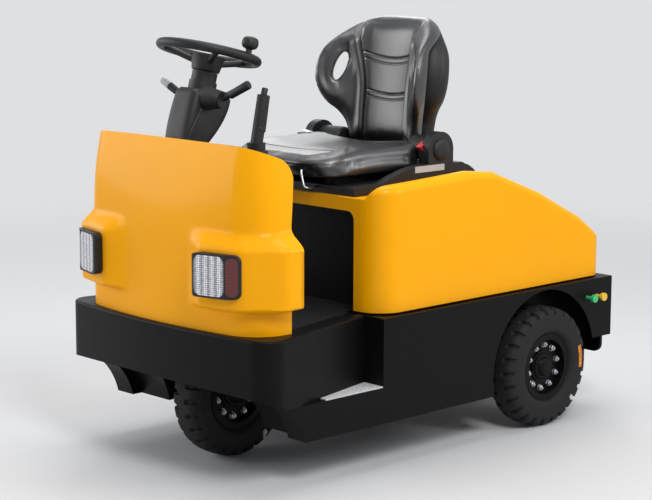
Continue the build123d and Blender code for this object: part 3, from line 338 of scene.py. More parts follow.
def mesh_of(name, sheets):
    """A plain object from sheets of quads, merged and faced outwards, linked to the scene."""
    start, verts, quads = 0, [], []
    for points, faces in sheets:
        verts.append(points)
        quads.append(faces + start)
        start += len(points)
    mesh = bpy.data.meshes.new(name)
    mesh.from_pydata(np.vstack(verts).tolist(), [], np.vstack(quads).tolist())
    work = bmesh.new()
    work.from_mesh(mesh)
    bmesh.ops.remove_doubles(work, verts=work.verts, dist=1e-6)
    bmesh.ops.dissolve_degenerate(work, dist=1e-7, edges=work.edges)
    bmesh.ops.recalc_face_normals(work, faces=work.faces)
    work.to_mesh(mesh)
    work.free()
    made = bpy.data.objects.new(name, mesh)
    bpy.context.scene.collection.objects.link(made)
    return made


def settle(made, body, slot, angle, finish=None):
    """Gives an object its finish (the slot's own unless another is named), smooth shading below an angle in
    degrees, and its body.
    """
    made.data.materials.clear()
    made.data.materials.append(FINISHES[finish or slot])
    made.data.shade_smooth()
    made.data.set_sharp_from_angle(angle=radians(angle))
    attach(made, body)
    return made


def piece(name, sheets, body, slot, angle, finish=None):
    """One settled mesh object from sheets of quads."""
    return settle(mesh_of(name, sheets), body, slot, angle, finish)


def turned(profile, around, centre, axis, side):
    """Profile of (along, radius) rows turned about an axis: centre + along * axis + radius * (cos a * side +
    sin a * up)."""
    angle = np.linspace(0, 2 * pi, around, endpoint=False)[:, None, None]
    axis, side = np.array(axis, float), np.array(side, float)
    up = np.cross(axis, side)
    profile = np.array(profile, float)
    ring = np.cos(angle) * side + np.sin(angle) * up
    points = np.array(centre) + profile[None, :, :1] * axis + profile[None, :, 1:] * ring
    return sheet_of(points, close_u=True)


# A direction that no bar of the tractor runs along, for squaring the rings round a bar
SKEW = (0.31, 0.17, 0.93)


def squared(ahead):
    """Unit vectors square to the given directions and to SKEW."""
    side = np.cross(ahead, SKEW)
    return side / np.linalg.norm(side, axis=-1, keepdims=True)


def tube(path, radius, around=12):
    """Round bar along a path: each path point carries a ring square to the path's direction, and the ends are
    closed to a point."""
    ahead = np.gradient(path, axis=0)
    ahead /= np.linalg.norm(ahead, axis=1, keepdims=True)
    side = squared(ahead)
    up = np.cross(ahead, side)
    angle = np.linspace(0, 2 * pi, around, endpoint=False)[None, :, None]
    rings = path[:, None] + radius * (np.cos(angle) * side[:, None] + np.sin(angle) * up[:, None])
    ends = [np.repeat(path[k][None, None], around, 1) for k in (0, -1)]
    return sheet_of(np.concatenate([ends[0], rings, ends[1]]), close_v=True)


def sleeve(start, end, profile, around=24):
    """Profile of (share along, radius) rows turned about the line from start to end."""
    axis = end - start
    length = np.linalg.norm(axis)
    axis = axis / length
    return turned(np.array(profile, float) * (length, 1), around, start, axis, squared(axis))


def smooth_path(points, count):
    """Points along a Catmull-Rom curve through the given ones: between b and c, with neighbours a and d,
    (2b + (c - a) f + (2a - 5b + 4c - d) f^2 + (3b - a - 3c + d) f^3) / 2."""
    points = np.array(points, float)
    ext = np.vstack([2 * points[0] - points[1], points, 2 * points[-1] - points[-2]])
    t = np.linspace(0, len(points) - 1 - 1e-9, count)
    k = t.astype(int)
    f = (t - k)[:, None]
    a, b, c, d = ext[k], ext[k + 1], ext[k + 2], ext[k + 3]
    square, cube = 2 * a - 5 * b + 4 * c - d, 3 * b - a - 3 * c + d
    return 0.5 * (2 * b + (c - a) * f + square * f ** 2 + cube * f ** 3)


def step(low, high, value):
    """Smooth 0 to 1 step: t*t*(3 - 2t) with t the clipped share between low and high."""
    t = np.clip((value - low) / (high - low), 0, 1)
    return t * t * (3 - 2 * t)


def bell(offset, width):
    """Bell curve: exp(-(offset / width)^2)."""
    return np.exp(-(offset / width) ** 2)


def settings():
    """The scene's colours and sizes."""
    return bpy.context.scene.tractor_colours, bpy.context.scene.tractor_sizes


class TRACTOR_OT_finishes(bpy.types.Operator):
    """Make all finishes and put them on the CAD nodes"""
    bl_idname = "tractor.finishes"
    bl_label = "Finishes"

    def execute(self, context):
        FINISHES.update(make_materials(settings()[0]))
        slots = {part["node"]: part["material_slot"] for part in frame["record"]["subparts"]}
        # The panel below the seat's front edge gets the darker powder-coat finish as painted shade: the foot well
        # there lies in shadow
        slots["seat_front_panel"] = "black_paint"
        for name, item in NODES.items():
            item.data.materials.clear()
            item.data.materials.append(FINISHES[slots[name]])
        return {"FINISHED"}


# Each wheel's body, spin joint, tyre node and the side that its nuts face
WHEELS = (("front_wheel", "front_wheel_spin", "front_tyre", 1),
          ("rear_wheel_left", "rear_left_spin", "rear_tyre_left", 1),
          ("rear_wheel_right", "rear_right_spin", "rear_tyre_right", -1))
# Half section of a tyre from its bead to its crown: (axial, radius)
TYRE_SECTION = (
    (0.0385, 0.103), (0.0400, 0.117), (0.0470, 0.122), (0.0545, 0.132), (0.0560, 0.150), (0.0556, 0.170),
    (0.0535, 0.186), (0.0490, 0.1965), (0.0400, 0.2035), (0.0260, 0.2066), (0.0, 0.2075))
SIDEWALL = np.array(TYRE_SECTION[3:7])
TYRE_R, TYRE_HALF = 0.2075, 0.056
RIB_RADII, RIB_HEIGHT, RIB_WIDTH = (0.140, 0.172), 0.0009, 0.0016
LUG_EDGE, LUG_LEAN = 0.0015, 0.10
# Runs over which the grooves between lugs deepen: out from the crown's middle, and up the sidewall in radius
LUG_ACROSS, LUG_UP = (0.012, 0.019), (0.178, 0.190)
STEPS_PER_LUG = 14
MARK_THICK = 0.0008


def tyre_sheet(centre, outer, sizes):
    """Tyre about X. Section: a smooth curve through (axial, radius) points, with thin ribs on the sidewall.
    Between lugs the shoulder sinks by lug_depth * step(across the groove) * step(from the crown out to the
    shoulder), half a pitch apart side to side."""
    side = smooth_path(TYRE_SECTION, 46)
    side[:, :1] += sum(RIB_HEIGHT * bell(side[:, 1:] - radius, RIB_WIDTH) for radius in RIB_RADII)
    section = np.vstack([side, side[-2::-1] * (-1, 1)])
    count = sizes.lugs * STEPS_PER_LUG
    turn = np.arange(count) * 2 * pi / count
    pitch = 2 * pi / sizes.lugs
    axial, reach = section[:, 0], section[:, 1]
    phase = np.where(axial > 0, 0.0, 0.5)
    lean = LUG_LEAN * np.abs(axial) / TYRE_HALF
    place = np.abs((turn[:, None] / pitch + phase + lean + 0.5) % 1.0 - 0.5) * pitch * TYRE_R
    groove = 1 - step(sizes.lug_gap / 2 - LUG_EDGE, sizes.lug_gap / 2 + LUG_EDGE, place)
    zone = step(*LUG_ACROSS, np.abs(axial)) * step(*LUG_UP, reach)
    sink = sizes.lug_depth * groove * zone
    slope = np.gradient(section, axis=0)
    slope /= np.linalg.norm(slope, axis=1, keepdims=True)
    # The section's normal, turned to point out of the tyre
    normal = np.stack([slope[:, 1], -slope[:, 0]], 1)
    normal *= np.sign(normal[:, 1:] + 1e-3 * np.sign(axial[:, None]) * normal[:, :1] + 1e-9)
    moved = section[None] - sink[..., None] * normal[None]
    grid = np.stack([
        centre[0] + outer * moved[..., 0],
        centre[1] + moved[..., 1] * np.cos(turn)[:, None],
        centre[2] + moved[..., 1] * np.sin(turn)[:, None]], -1)
    return sheet_of(grid, close_u=True, close_v=True)


class TRACTOR_OT_tyres(bpy.types.Operator):
    """Lugged tyres with their painted marks"""
    bl_idname = "tractor.tyres"
    bl_label = "Tyres"

    def execute(self, context):
        sizes = settings()[1]
        for body, joint, node, outer in WHEELS:
            centre = JOINTS[joint]["pos_m"]
            made = piece(node + "_lugged", [tyre_sheet(centre, outer, sizes)], body, "tyre_rubber", 40)
            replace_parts(made, node)
        # Each mark's name, wheel, inner and outer radius, first and last angle in degrees, and finish
        for name, (body, joint, _, outer), low, high, start, end, finish in (
                ("rear_stripe_left", WHEELS[1], 0.160, 0.177, -8, 19, "orange_mark"),
                ("rear_dash_left", WHEELS[1], 0.166, 0.184, -48, -43, "white_mark"),
                ("front_dash", WHEELS[0], 0.168, 0.186, -58, -52, "white_mark")):
            centre = JOINTS[joint]["pos_m"]
            turn = np.radians(np.linspace(start, end, 16))[:, None]
            reach = np.linspace(low, high, 8)[None]
            x = np.interp(reach, SIDEWALL[:, 1], SIDEWALL[:, 0]) + MARK_THICK
            grid = np.stack(np.broadcast_arrays(
                centre[0] + outer * x,
                centre[1] + reach * np.cos(turn),
                centre[2] + reach * np.sin(turn)), -1)
            back = grid - (MARK_THICK * outer, 0, 0)
            piece(name, slab(grid, back), body, "tyre_rubber", 40, finish)
        return {"FINISHED"}


# Flanged nut, stud end and hub cap: (out along the axle, radius)
NUT = ((0, 0), (0, 0.0125), (0.0025, 0.0125), (0.0025, 0.0105), (0.0105, 0.0105), (0.0120, 0.0085),
       (0.0120, 0.0048), (0.0120, 0))
STUD = ((0.010, 0), (0.010, 0.0048), (0.0160, 0.0048), (0.0170, 0.0038), (0.0170, 0))
HUB_CAP = ((0, 0), (0, 0.046), (0.004, 0.046), (0.0065, 0.043), (0.0075, 0.034), (0.0150, 0.030),
           (0.0175, 0.026), (0.0185, 0.012), (0.0188, 0))
# How far the nuts' and the cap's seats lie out of the wheel's middle plane, and the first nut's angle
NUT_OUT, CAP_OUT, FIRST_NUT = 0.0168, 0.0238, 0.2


class TRACTOR_OT_wheel_nuts(bpy.types.Operator):
    """Nuts, studs and hub cap of each wheel"""
    bl_idname = "tractor.wheel_nuts"
    bl_label = "Wheel nuts"

    def execute(self, context):
        sizes = settings()[1]
        for body, joint, _, outer in WHEELS:
            centre = np.array(JOINTS[joint]["pos_m"])
            out = np.array([outer, 0.0, 0.0])
            nuts = []
            for angle in np.arange(sizes.nuts) * 2 * pi / sizes.nuts + FIRST_NUT:
                away = np.array([0, cos(angle), sin(angle)])
                seat = centre + out * NUT_OUT + sizes.nut_circle * away
                nuts += [turned(NUT, 6, seat, out, away), turned(STUD, 12, seat, out, (0, 1, 0))]
            piece(body + "_nuts", nuts, body, "step_aluminium", 30, "bare_steel")
            cap = turned(HUB_CAP, 48, centre + out * CAP_OUT, out, (0, 1, 0))
            piece(body + "_hub_cap", [cap], body, "black_paint", 30)
        return {"FINISHED"}


# Cowl: heights of its edges, front, rear edge, half width, wall, and radii of its corner and bowed front
COWL_BASE, COWL_TOP, COWL_FRONT, COWL_REAR = 0.483, 1.055, -0.870, -0.694
COWL_HALF, COWL_WALL, CORNER_R, FRONT_R = 0.430, 0.005, 0.128, 2.1
# Its lean: run in height, share where it starts, and what it moves back, in and off the corner's radius
LEAN_RUN, LEAN_START, LEAN_BACK, LEAN_IN, LEAN_CORNER = 0.573, 0.42, 0.046, 0.026, 0.030
# Its rear edge leans back by RAKE over a run in height, and its rim falls and ends in a rounded corner
RAKE, RAKE_START, RAKE_RUN = 0.030, 0.816, 0.241
RIM_FALL, RIM_R, RIM_PAST = 0.058, 0.045, 0.017
# Lamp pods: plan of their faces, how softly they rise, and the heights between which they start and end
POD_LINE = np.array([(0.130, -0.855), (0.236, -0.900), (0.392, -0.866), (0.484, -0.756), (0.484, -0.640)])
POD_SOFT, POD_FOOT, POD_HEAD = 0.013, (0.550, 0.572), (0.802, 0.742)
# Plan points on the front arc, the corner arc and the side: their share of it and which of the three it is
PLAN_STEPS = (64, 44, 30)
PLAN_SHARE = np.concatenate([np.linspace(0, 1, count) for count in PLAN_STEPS])
PLAN_ZONE = np.repeat((0, 1, 2), PLAN_STEPS)


def cowl_plan(z, inset):
    """Plan of the cowl's left half at heights z, one column for each plan point: a bowed front arc, a corner
    arc and a straight side. lean = (max(0, share of the height - start) / (1 - start))^2 moves the front back
    and the sides in. Gives x, y and the angle of the outward normal."""
    lean = (np.maximum(0, (z - COWL_BASE) / LEAN_RUN - LEAN_START) / (1 - LEAN_START)) ** 2
    wide, corner = COWL_HALF - LEAN_IN * lean - inset, CORNER_R - LEAN_CORNER * lean - inset
    bow, nose = FRONT_R * (1 + 2 * lean), COWL_FRONT + LEAN_BACK * lean + inset
    knee = (wide - corner) / (1 - corner / bow)
    middle = nose + bow - np.sqrt(bow ** 2 - knee ** 2) + corner * np.sqrt(1 - (knee / bow) ** 2)
    ahead = np.arcsin(knee / bow) * PLAN_SHARE
    around = -np.arccos((knee - wide + corner) / corner) * (1 - PLAN_SHARE)
    end = COWL_REAR + RAKE * np.clip((z - RAKE_START) / RAKE_RUN, 0, 1)
    x = np.choose(PLAN_ZONE, [bow * np.sin(ahead), wide - corner + corner * np.cos(around), wide])
    y = np.choose(PLAN_ZONE, [nose + bow - bow * np.cos(ahead), middle + corner * np.sin(around),
                              middle + (end - middle) * PLAN_SHARE])
    return x, y, np.choose(PLAN_ZONE, [ahead - pi / 2, around, 0 * wide])


def cowl_rim(y):
    """Height of the cowl's upper edge: top - fall * share of the run - (r - sqrt(r^2 - b^2)), with b =
    max(0, y - end + r)."""
    start, end = COWL_FRONT + LEAN_BACK, COWL_REAR + RIM_PAST
    share = np.clip((y - start) / (end - start), 0, 1)
    bend = np.clip(y - end + RIM_R, 0, RIM_R)
    return COWL_TOP - RIM_FALL * share - RIM_R + np.sqrt(RIM_R ** 2 - bend ** 2)


def lamp_pod(inset):
    """How far the lamp pods stand out at each plan point: the way along the base plan's normal to the pods'
    line, evened out by a bell over the run."""
    corners = np.arange(len(POD_LINE))
    places = np.linspace(0, corners[-1], 400)
    line = np.column_stack([np.interp(places, corners, POD_LINE[:, k]) for k in (0, 1)])
    x, y, turn = [item[0] for item in cowl_plan(np.array([[COWL_BASE]]), inset)]
    away = np.stack([np.cos(turn), np.sin(turn)], 1)
    offset = line[None] - np.stack([x, y], 1)[:, None]
    along = (offset * away[:, None]).sum(-1)
    across = offset[..., 0] * away[:, None, 1] - offset[..., 1] * away[:, None, 0]
    hit = across[:, 1:] * across[:, :-1] <= 0
    pod = np.max(np.where(hit, along[:, 1:], 0), axis=1).clip(0)
    run = np.concatenate([[0], np.cumsum(np.hypot(np.diff(x), np.diff(y)))])
    weight = bell(run[:, None] - run[None], POD_SOFT)
    return weight @ pod / weight.sum(1)


def cowl_grid(inset):
    """Left half of the cowl's skin as a grid over (height, plan), from the base up to the rim, which is found
    in a few rounds because the plan leans with height. The lamp pods move points out along their normals by
    pod(plan) * window(z)."""
    edge = cowl_rim(cowl_plan(np.array([[COWL_TOP]]), inset)[1])
    for _ in range(6):
        edge = 0.5 * edge + 0.5 * cowl_rim(cowl_plan(edge, inset)[1])
    z = COWL_BASE + np.linspace(0, 1, 100)[:, None] * (edge - COWL_BASE)
    x, y, turn = cowl_plan(z, inset)
    out = lamp_pod(inset) * (step(*POD_FOOT, z) * step(*POD_HEAD, z))
    return np.stack([x + out * np.cos(turn), y + out * np.sin(turn), z], -1)


def whole(grid):
    """Left half grid joined to its mirror image across X = 0."""
    return np.concatenate([grid[:, :0:-1] * (-1, 1, 1), grid], 1)


class TRACTOR_OT_cowl(bpy.types.Operator):
    """Cowl skin with soft lamp pods"""
    bl_idname = "tractor.cowl"
    bl_label = "Cowl"

    def execute(self, context):
        skin = slab(whole(cowl_grid(0.0)), whole(cowl_grid(COWL_WALL)))
        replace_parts(piece("cowl_skin", skin, "chassis", "yellow_shell", 50), "cowl")
        return {"FINISHED"}


# Column cover: half width, roundness and joint groove, then (y, z) of its front line and its back curve
COVER_HALF, COVER_ROUND, GROOVE_DEEP, GROOVE_WIDE = 0.062, 4.5, 0.0022, 0.035
COVER_FRONT = ((-0.800, 1.028), (-0.7455, 1.2072), (-0.006, 0.002))
COVER_BACK = ((-0.694, 1.028), (-0.606, 1.100), (-0.5934, 1.1664))


def column_skin():
    """Rounded column cover: at share w of its height, its section between the front line F(w) and the back
    curve B(w) is a superellipse |x / h|^4.5 + |y / d|^4.5 = 1. A groove runs up the joint of its halves."""
    share = np.linspace(0, 1, 70)
    w = np.concatenate([[0.0], share, [1.0]])[:, None, None]
    size = np.concatenate([[0.0], 1 - 0.10 * step(0.90, 1.0, share) ** 2, [0.0]])[:, None]
    foot, head, bow = COVER_FRONT
    front = (1 - w) * foot + w * head + 4 * w * (1 - w) * bow
    foot, pull, head = COVER_BACK
    back = (1 - w) ** 2 * foot + 2 * w * (1 - w) * pull + w ** 2 * head
    a = np.linspace(0, 2 * pi, 200, endpoint=False)[None]
    across, along = [np.sign(wave) * np.abs(wave) ** (2 / COVER_ROUND) for wave in (np.cos(a), np.sin(a))]
    groove = GROOVE_DEEP * bell(along + 0.92 - 0.55 * w[..., 0], GROOVE_WIDE)
    half = COVER_HALF * (1 - 0.05 * (2 * w[..., 0] - 1) ** 2) - groove
    flat = (front + back) / 2 + (size * along)[..., None] * (back - front) / 2
    return sheet_of(np.dstack([size * half * across, flat]), close_v=True)


def ribbed(radius, taper, depth, ribs, count, end):
    """Rows of a ribbed sleeve: radius - taper * t + depth * cos(2 pi ribs t) at share t, then its end."""
    t = np.linspace(0, 1, count)
    wavy = radius - taper * t + depth * np.cos(2 * pi * ribs * t)
    return np.vstack([[(0, 0)], np.column_stack([t, wavy]), end])


# Where the lever (left) and the signal stalk (right) leave the column cover, where the lever's boot ends, how
# far the two reach from there, and the parking brake's foot and head
LEVER_FOOT = np.array([0.062, -0.705, 1.172])
STALK_FOOT = LEVER_FOOT * (-1, 1, 1)
LEVER_START = LEVER_FOOT + (0.066, 0, 0)
LEVER_REACH, STALK_REACH = np.array([0.087, 0.030, 0.050]), np.array([-0.082, -0.0165, 0.048])
BRAKE_FOOT, BRAKE_HEAD = np.array([0.262, -0.686, 1.028]), np.array([0.262, -0.656, 1.188])
# Ribbed boot and brake grip: radius, taper, depth of the ribs, ribs and points along
BOOT_RIBS, GRIP_RIBS = (0.0345, 0.0125, 0.0032, 7, 97), (0.0205, 0.0012, 0.0007, 20, 121)
# Sleeves on them: (share along, radius)
LEVER_GRIP = ((0, 0), (0, 0.0118), (0.03, 0.0128), (0.70, 0.0136), (0.94, 0.0140), (0.985, 0.0125),
              (1.0, 0.0095), (1.0, 0.0075), (0.99, 0.0070), (0.99, 0))
STALK_GRIP = ((0, 0), (0, 0.0112), (0.25, 0.0125), (0.52, 0.0125), (0.55, 0.0108), (0.56, 0))
STALK_TIP = ((0, 0), (0, 0.0116), (0.15, 0.0122), (0.8, 0.0112), (0.97, 0.0102), (1.0, 0.0085), (1.0, 0))
BRAKE_COLLAR = ((0, 0), (0, 0.0196), (0.15, 0.0206), (0.85, 0.0206), (1.0, 0.0196), (1.0, 0))
BRAKE_BUTTON = ((0, 0), (0, 0.0098), (0.85, 0.0098), (1.0, 0.0082), (1.0, 0))


class TRACTOR_OT_controls(bpy.types.Operator):
    """Column cover, bellows boot, lever grips and the parking brake's ribbed grip"""
    bl_idname = "tractor.controls"
    bl_label = "Controls"

    def execute(self, context):
        cover = piece("column_cover_moulded", [column_skin()], "chassis", "black_plastic", 40)
        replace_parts(cover, "column_cover")
        tall = BRAKE_HEAD - BRAKE_FOOT
        boot = ribbed(*BOOT_RIBS, [(1, 0)])
        grip = ribbed(*GRIP_RIBS, [(1.0, 0.016), (1.0, 0)])
        # Each sleeve's name, start, end, rows, points round it, sharp angle and finish
        for name, start, end, rows, around, angle, finish in (
                ("lever_boot", LEVER_FOOT - (0.006, 0, 0), LEVER_START + (0.004, 0, 0), boot, 40, 60, None),
                ("lever_grip", LEVER_START + 0.30 * LEVER_REACH, LEVER_START + 1.03 * LEVER_REACH, LEVER_GRIP,
                 24, 30, None),
                ("signal_stalk_grip", STALK_FOOT + 0.20 * STALK_REACH, STALK_FOOT + STALK_REACH, STALK_GRIP,
                 24, 30, None),
                # The tip's light grey finish is a painted highlight on the stalk's end, which is darker itself
                ("signal_stalk_tip", STALK_FOOT + 0.64 * STALK_REACH, STALK_FOOT + STALK_REACH, STALK_TIP,
                 24, 30, "grey_plastic"),
                ("brake_grip", BRAKE_FOOT + 0.42 * tall, BRAKE_HEAD + 0.03 * tall, grip, 36, 50, None),
                ("brake_collar", BRAKE_FOOT + 0.34 * tall, BRAKE_FOOT + 0.43 * tall, BRAKE_COLLAR,
                 24, 30, None),
                ("brake_button", BRAKE_HEAD + 0.03 * tall, BRAKE_HEAD + 0.16 * tall + (0, 0.002, 0),
                 BRAKE_BUTTON, 24, 30, None)):
            piece(name, [sleeve(start, end, rows, around)], "chassis", "black_plastic", angle, finish)
        return {"FINISHED"}


# Bent wire of the seat's slide lever, and the buckle's stiff stalk
LEVER_BEND = (
    (0.150, -0.392, 0.932), (0.154, -0.396, 0.920), (0.172, -0.402, 0.884), (0.180, -0.400, 0.878),
    (0.176, -0.380, 0.876), (0.140, -0.320, 0.872), (0.130, -0.296, 0.870))
BUCKLE_STEM = ((0.2545, 0.050, 0.882), (0.2550, 0.049, 0.930), (0.2580, 0.044, 0.968))
LEVER_WIRE_R, BUCKLE_STEM_R = 0.0036, 0.0055
# Bare plate beside the seat: its face, its runs in y and z and its thickness
PLATE_X, PLATE_Y, PLATE_Z, PLATE_THICK = 0.3022, (-0.024, 0.116), (0.904, 0.925), 0.0024
# Seats of the left recliner's cap and pivot, then both profiles: (out along X, radius)
CAP_SEAT, PIVOT_SEAT = np.array([0.2996, 0.101, 0.972]), np.array([0.168, 0.113, 0.972])
RECLINER_CAP = ((0, 0), (0, 0.036), (0.004, 0.036), (0.007, 0.0335), (0.0095, 0.027), (0.0105, 0.017),
                (0.0108, 0))
RECLINER_PIVOT = ((0, 0), (0, 0.034), (0.004, 0.040), (0.010, 0.042), (0.100, 0.042), (0.100, 0))
# Upper line (y, z) of the trim beside the seat's base, with its foot's height, face and thickness
TRIM_ARCH = ((-0.205, 0.872), (-0.160, 0.888), (-0.113, 0.903), (-0.016, 0.924), (0.111, 0.928),
             (0.210, 0.920), (0.258, 0.900), (0.285, 0.874))
TRIM_FOOT, TRIM_X, TRIM_THICK = 0.862, 0.2998, 0.036
# Buckle head: its middle and its three edges
BUCKLE_HEAD = np.array([0.263, 0.050, 0.985])
BUCKLE_EDGES = np.array([[0.020, 0, 0], [0, 0.015, -0.0136], [0, 0.0289, 0.017]])
# Belt tongue: x and z of its start, length, half width, thickness, and its slopes along x and z
TONGUE_X, TONGUE_Z, TONGUE_LONG, TONGUE_HALF, TONGUE_THICK = -0.262, 1.004, 0.042, 0.012, 0.003
TONGUE_IN, TONGUE_FALL = 0.94, 0.10


class TRACTOR_OT_seat_fittings(bpy.types.Operator):
    """Slide lever, bare plate, recliner caps and pivots, trim beside the seat, buckle and belt tongue"""
    bl_idname = "tractor.seat_fittings"
    bl_label = "Seat fittings"

    def execute(self, context):
        wire = tube(smooth_path(LEVER_BEND, 40), LEVER_WIRE_R)
        piece("slide_lever", [wire], "hood", "step_aluminium", 40, "bare_steel")
        y = np.linspace(*PLATE_Y, 5)[None]
        z = np.linspace(*PLATE_Z, 3)[:, None]
        plate = np.stack(np.broadcast_arrays(PLATE_X, y, z), -1)
        back = plate - (PLATE_THICK, 0, 0)
        piece("base_plate", slab(plate, back), "hood", "step_aluminium", 30, "grey_plastic")

        arch = smooth_path(TRIM_ARCH, 60)
        rise = TRIM_FOOT + np.linspace(0, 1, 6)[:, None] * (arch[None, :, 1] - TRIM_FOOT)
        for side, label in ((1, "left"), (-1, "right")):
            cap = turned(RECLINER_CAP, 40, CAP_SEAT * (side, 1, 1), (side, 0, 0), (0, 1, 0))
            piece("recliner_cap_" + label, [cap], "hood", "black_plastic", 30)
            pivot = turned(RECLINER_PIVOT, 40, PIVOT_SEAT * (side, 1, 1), (side, 0, 0), (0, 1, 0))
            piece("recliner_pivot_" + label, [pivot], "hood", "black_plastic", 30)
            face = np.stack(np.broadcast_arrays(side * TRIM_X, arch[None, :, 0], rise), -1)
            trim = slab(face, face - (side * TRIM_THICK, 0, 0))
            piece("seat_trim_" + label, trim, "hood", "black_plastic", 40)

        stem = tube(smooth_path(BUCKLE_STEM, 16), BUCKLE_STEM_R)
        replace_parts(piece("buckle_stalk", [stem], "hood", "black_plastic", 40), "belt_buckle")
        span = np.linspace(-0.5, 0.5, 5)
        thick, tall, long = BUCKLE_EDGES
        flat = BUCKLE_HEAD + span[:, None, None] * tall + span[None, :, None] * long
        piece("buckle_head", slab(flat + 0.5 * thick, flat - 0.5 * thick), "hood", "red_plastic", 30)
        along = np.linspace(0, TONGUE_LONG, 6)[None]
        over = np.linspace(-TONGUE_HALF, TONGUE_HALF, 4)[:, None]
        tongue = np.stack(np.broadcast_arrays(
            TONGUE_X + along * TONGUE_IN, over, TONGUE_Z - along * TONGUE_FALL), -1)
        back = tongue - (0, 0, TONGUE_THICK)
        piece("belt_tongue", slab(tongue, back), "hood", "step_aluminium", 30, "bare_steel")
        return {"FINISHED"}


def merged(node):
    """A copy of a CAD node's mesh with its loose triangles joined."""
    mesh = NODES[node].data.copy()
    work = bmesh.new()
    work.from_mesh(mesh)
    bmesh.ops.remove_doubles(work, verts=work.verts, dist=1e-5)
    work.to_mesh(mesh)
    work.free()
    return mesh


def applied(made):
    """Replaces an object's mesh with what its modifiers give."""
    depth = bpy.context.evaluated_depsgraph_get()
    mesh = bpy.data.meshes.new_from_object(made.evaluated_get(depth))
    made.modifiers.clear()
    made.data = mesh
    return made


def relax(made, rounds):
    """Adds an even smoothing of that many rounds to an object's modifiers."""
    ease = made.modifiers.new("Relax", "SMOOTH")
    ease.factor = 0.5
    ease.iterations = rounds


def remeshed(name, mesh, voxel, rounds):
    """Voxel remesh of a closed mesh, then a relaxing that rounds its edges."""
    made = bpy.data.objects.new(name, mesh)
    bpy.context.scene.collection.objects.link(made)
    item = made.modifiers.new("Remesh", "REMESH")
    item.mode = "VOXEL"
    item.voxel_size = voxel
    item.use_smooth_shade = True
    relax(made, rounds)
    return applied(made)


def subdivided(made, rounds):
    """A relaxing that takes out puckers, then one level of Catmull-Clark subdivision, applied."""
    relax(made, rounds)
    item = made.modifiers.new("Subdivision", "SUBSURF")
    item.levels = item.render_levels = 1
    return applied(made)


def points_of(made):
    """An object's vertex positions and normals as arrays."""
    count = len(made.data.vertices)
    place, normal = np.zeros(count * 3), np.zeros(count * 3)
    made.data.vertices.foreach_get("co", place)
    made.data.vertices.foreach_get("normal", normal)
    return place.reshape(-1, 3), normal.reshape(-1, 3)


def moved_to(made, place):
    """Writes vertex positions back to an object's mesh."""
    made.data.vertices.foreach_set("co", place.astype(np.float32).ravel())
    made.data.update()


FOAM_PRESSURE, FOAM_FRAMES = 4.0, 20


def swollen(made, cap, pinned):
    """Foam pressing on its cover: cloth with pressure and no gravity, each point moved by at most cap. Points
    where pinned is true stay in place."""
    before, _ = points_of(made)
    group = made.vertex_groups.new(name="held")
    group.add(np.flatnonzero(pinned).tolist(), 1.0, "REPLACE")
    cloth = made.modifiers.new("Cloth", "CLOTH")
    cloth.settings.use_pressure = True
    cloth.settings.uniform_pressure_force = FOAM_PRESSURE
    cloth.settings.effector_weights.gravity = 0.0
    cloth.settings.vertex_group_mass = "held"
    cloth.point_cache.frame_start = 1
    cloth.point_cache.frame_end = FOAM_FRAMES
    scene = bpy.context.scene
    for number in range(1, FOAM_FRAMES + 1):
        scene.frame_set(number)
    applied(made)
    scene.frame_set(1)
    after, _ = points_of(made)
    way = after - before
    length = np.linalg.norm(way, axis=1, keepdims=True)
    moved_to(made, before + way * np.minimum(1.0, cap / np.maximum(length, 1e-9)))
    made.vertex_groups.clear()


# Cushion: its dish, the rise at its sides, and the fall and tuck of its front edge
CUSHION_DISH, CUSHION_SIDES, CUSHION_FALL, CUSHION_TUCK = 0.010, 0.004, 0.022, 0.016


def cushion_cover(sizes):
    """Seat cushion from its CAD solid, remeshed and swollen. With u across and v back along it, its top then
    sinks in a dish and rises at the sides, its front edge falls and tucks in below, and a seam runs round its
    panel where max(|u| / 0.80, (0.42 - v) / 0.20) = 1."""
    low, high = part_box("seat_cushion")
    made = remeshed("seat_cushion_cover", merged("seat_cushion"), 0.005, 14)
    swollen(made, sizes.puff, points_of(made)[0][:, 2] < low.z + 0.012)
    subdivided(made, 10)
    place, normal = points_of(made)
    mid = (low + high) / 2
    u = (place[:, 0] - mid.x) / ((high.x - low.x) / 2)
    v = (place[:, 1] - low.y) / (high.y - low.y)
    top = step(0.5, 0.9, normal[:, 2])
    dish = -CUSHION_DISH * bell(u, 0.55) * step(0.05, 0.45, v)
    place[:, 2] += top * (dish + CUSHION_SIDES * bell(np.abs(u) - 0.85, 0.2))
    place[:, 2] -= CUSHION_FALL * step(0.42, 0.0, v) * step(low.z + 0.02, high.z, place[:, 2])
    place[:, 1] += CUSHION_TUCK * step(low.z + 0.05, low.z, place[:, 2]) * step(0.25, 0.0, v)
    ring = np.maximum(np.abs(u) / 0.80, (0.42 - v) / 0.20)
    place[:, 2] -= top * sizes.seam_depth * bell(ring - 1, 0.022)
    moved_to(made, place)
    return made


# Half outline (x, z) of the backrest from the top's middle round to the foot's middle, the point that its
# rings close on, the foot's place, the radius that it is bent to and its lean
BACK_EDGE = (
    (0.0, 1.402), (0.060, 1.402), (0.110, 1.398), (0.160, 1.376), (0.205, 1.334), (0.232, 1.280),
    (0.243, 1.218), (0.238, 1.158), (0.216, 1.106), (0.184, 1.068), (0.164, 1.030), (0.156, 0.990),
    (0.148, 0.966), (0.110, 0.962), (0.050, 0.962), (0.0, 0.962))
BACK_MID = np.array([0.0, 1.190])
BACK_FOOT_Y, BACK_FOOT_Z, BACK_BEND, BACK_LEAN = 0.141, 0.962, 0.310, radians(6)
BACK_RINGS = 121
# How far its wings come forward, its thickness behind the spine, what that loses in the wings, and the rolls
# round them and along the top
WING_AHEAD, SPINE_THICK, WING_THINNER, WING_ROLL, TOP_ROLL = 0.030, 0.074, 0.036, 0.026, 0.026
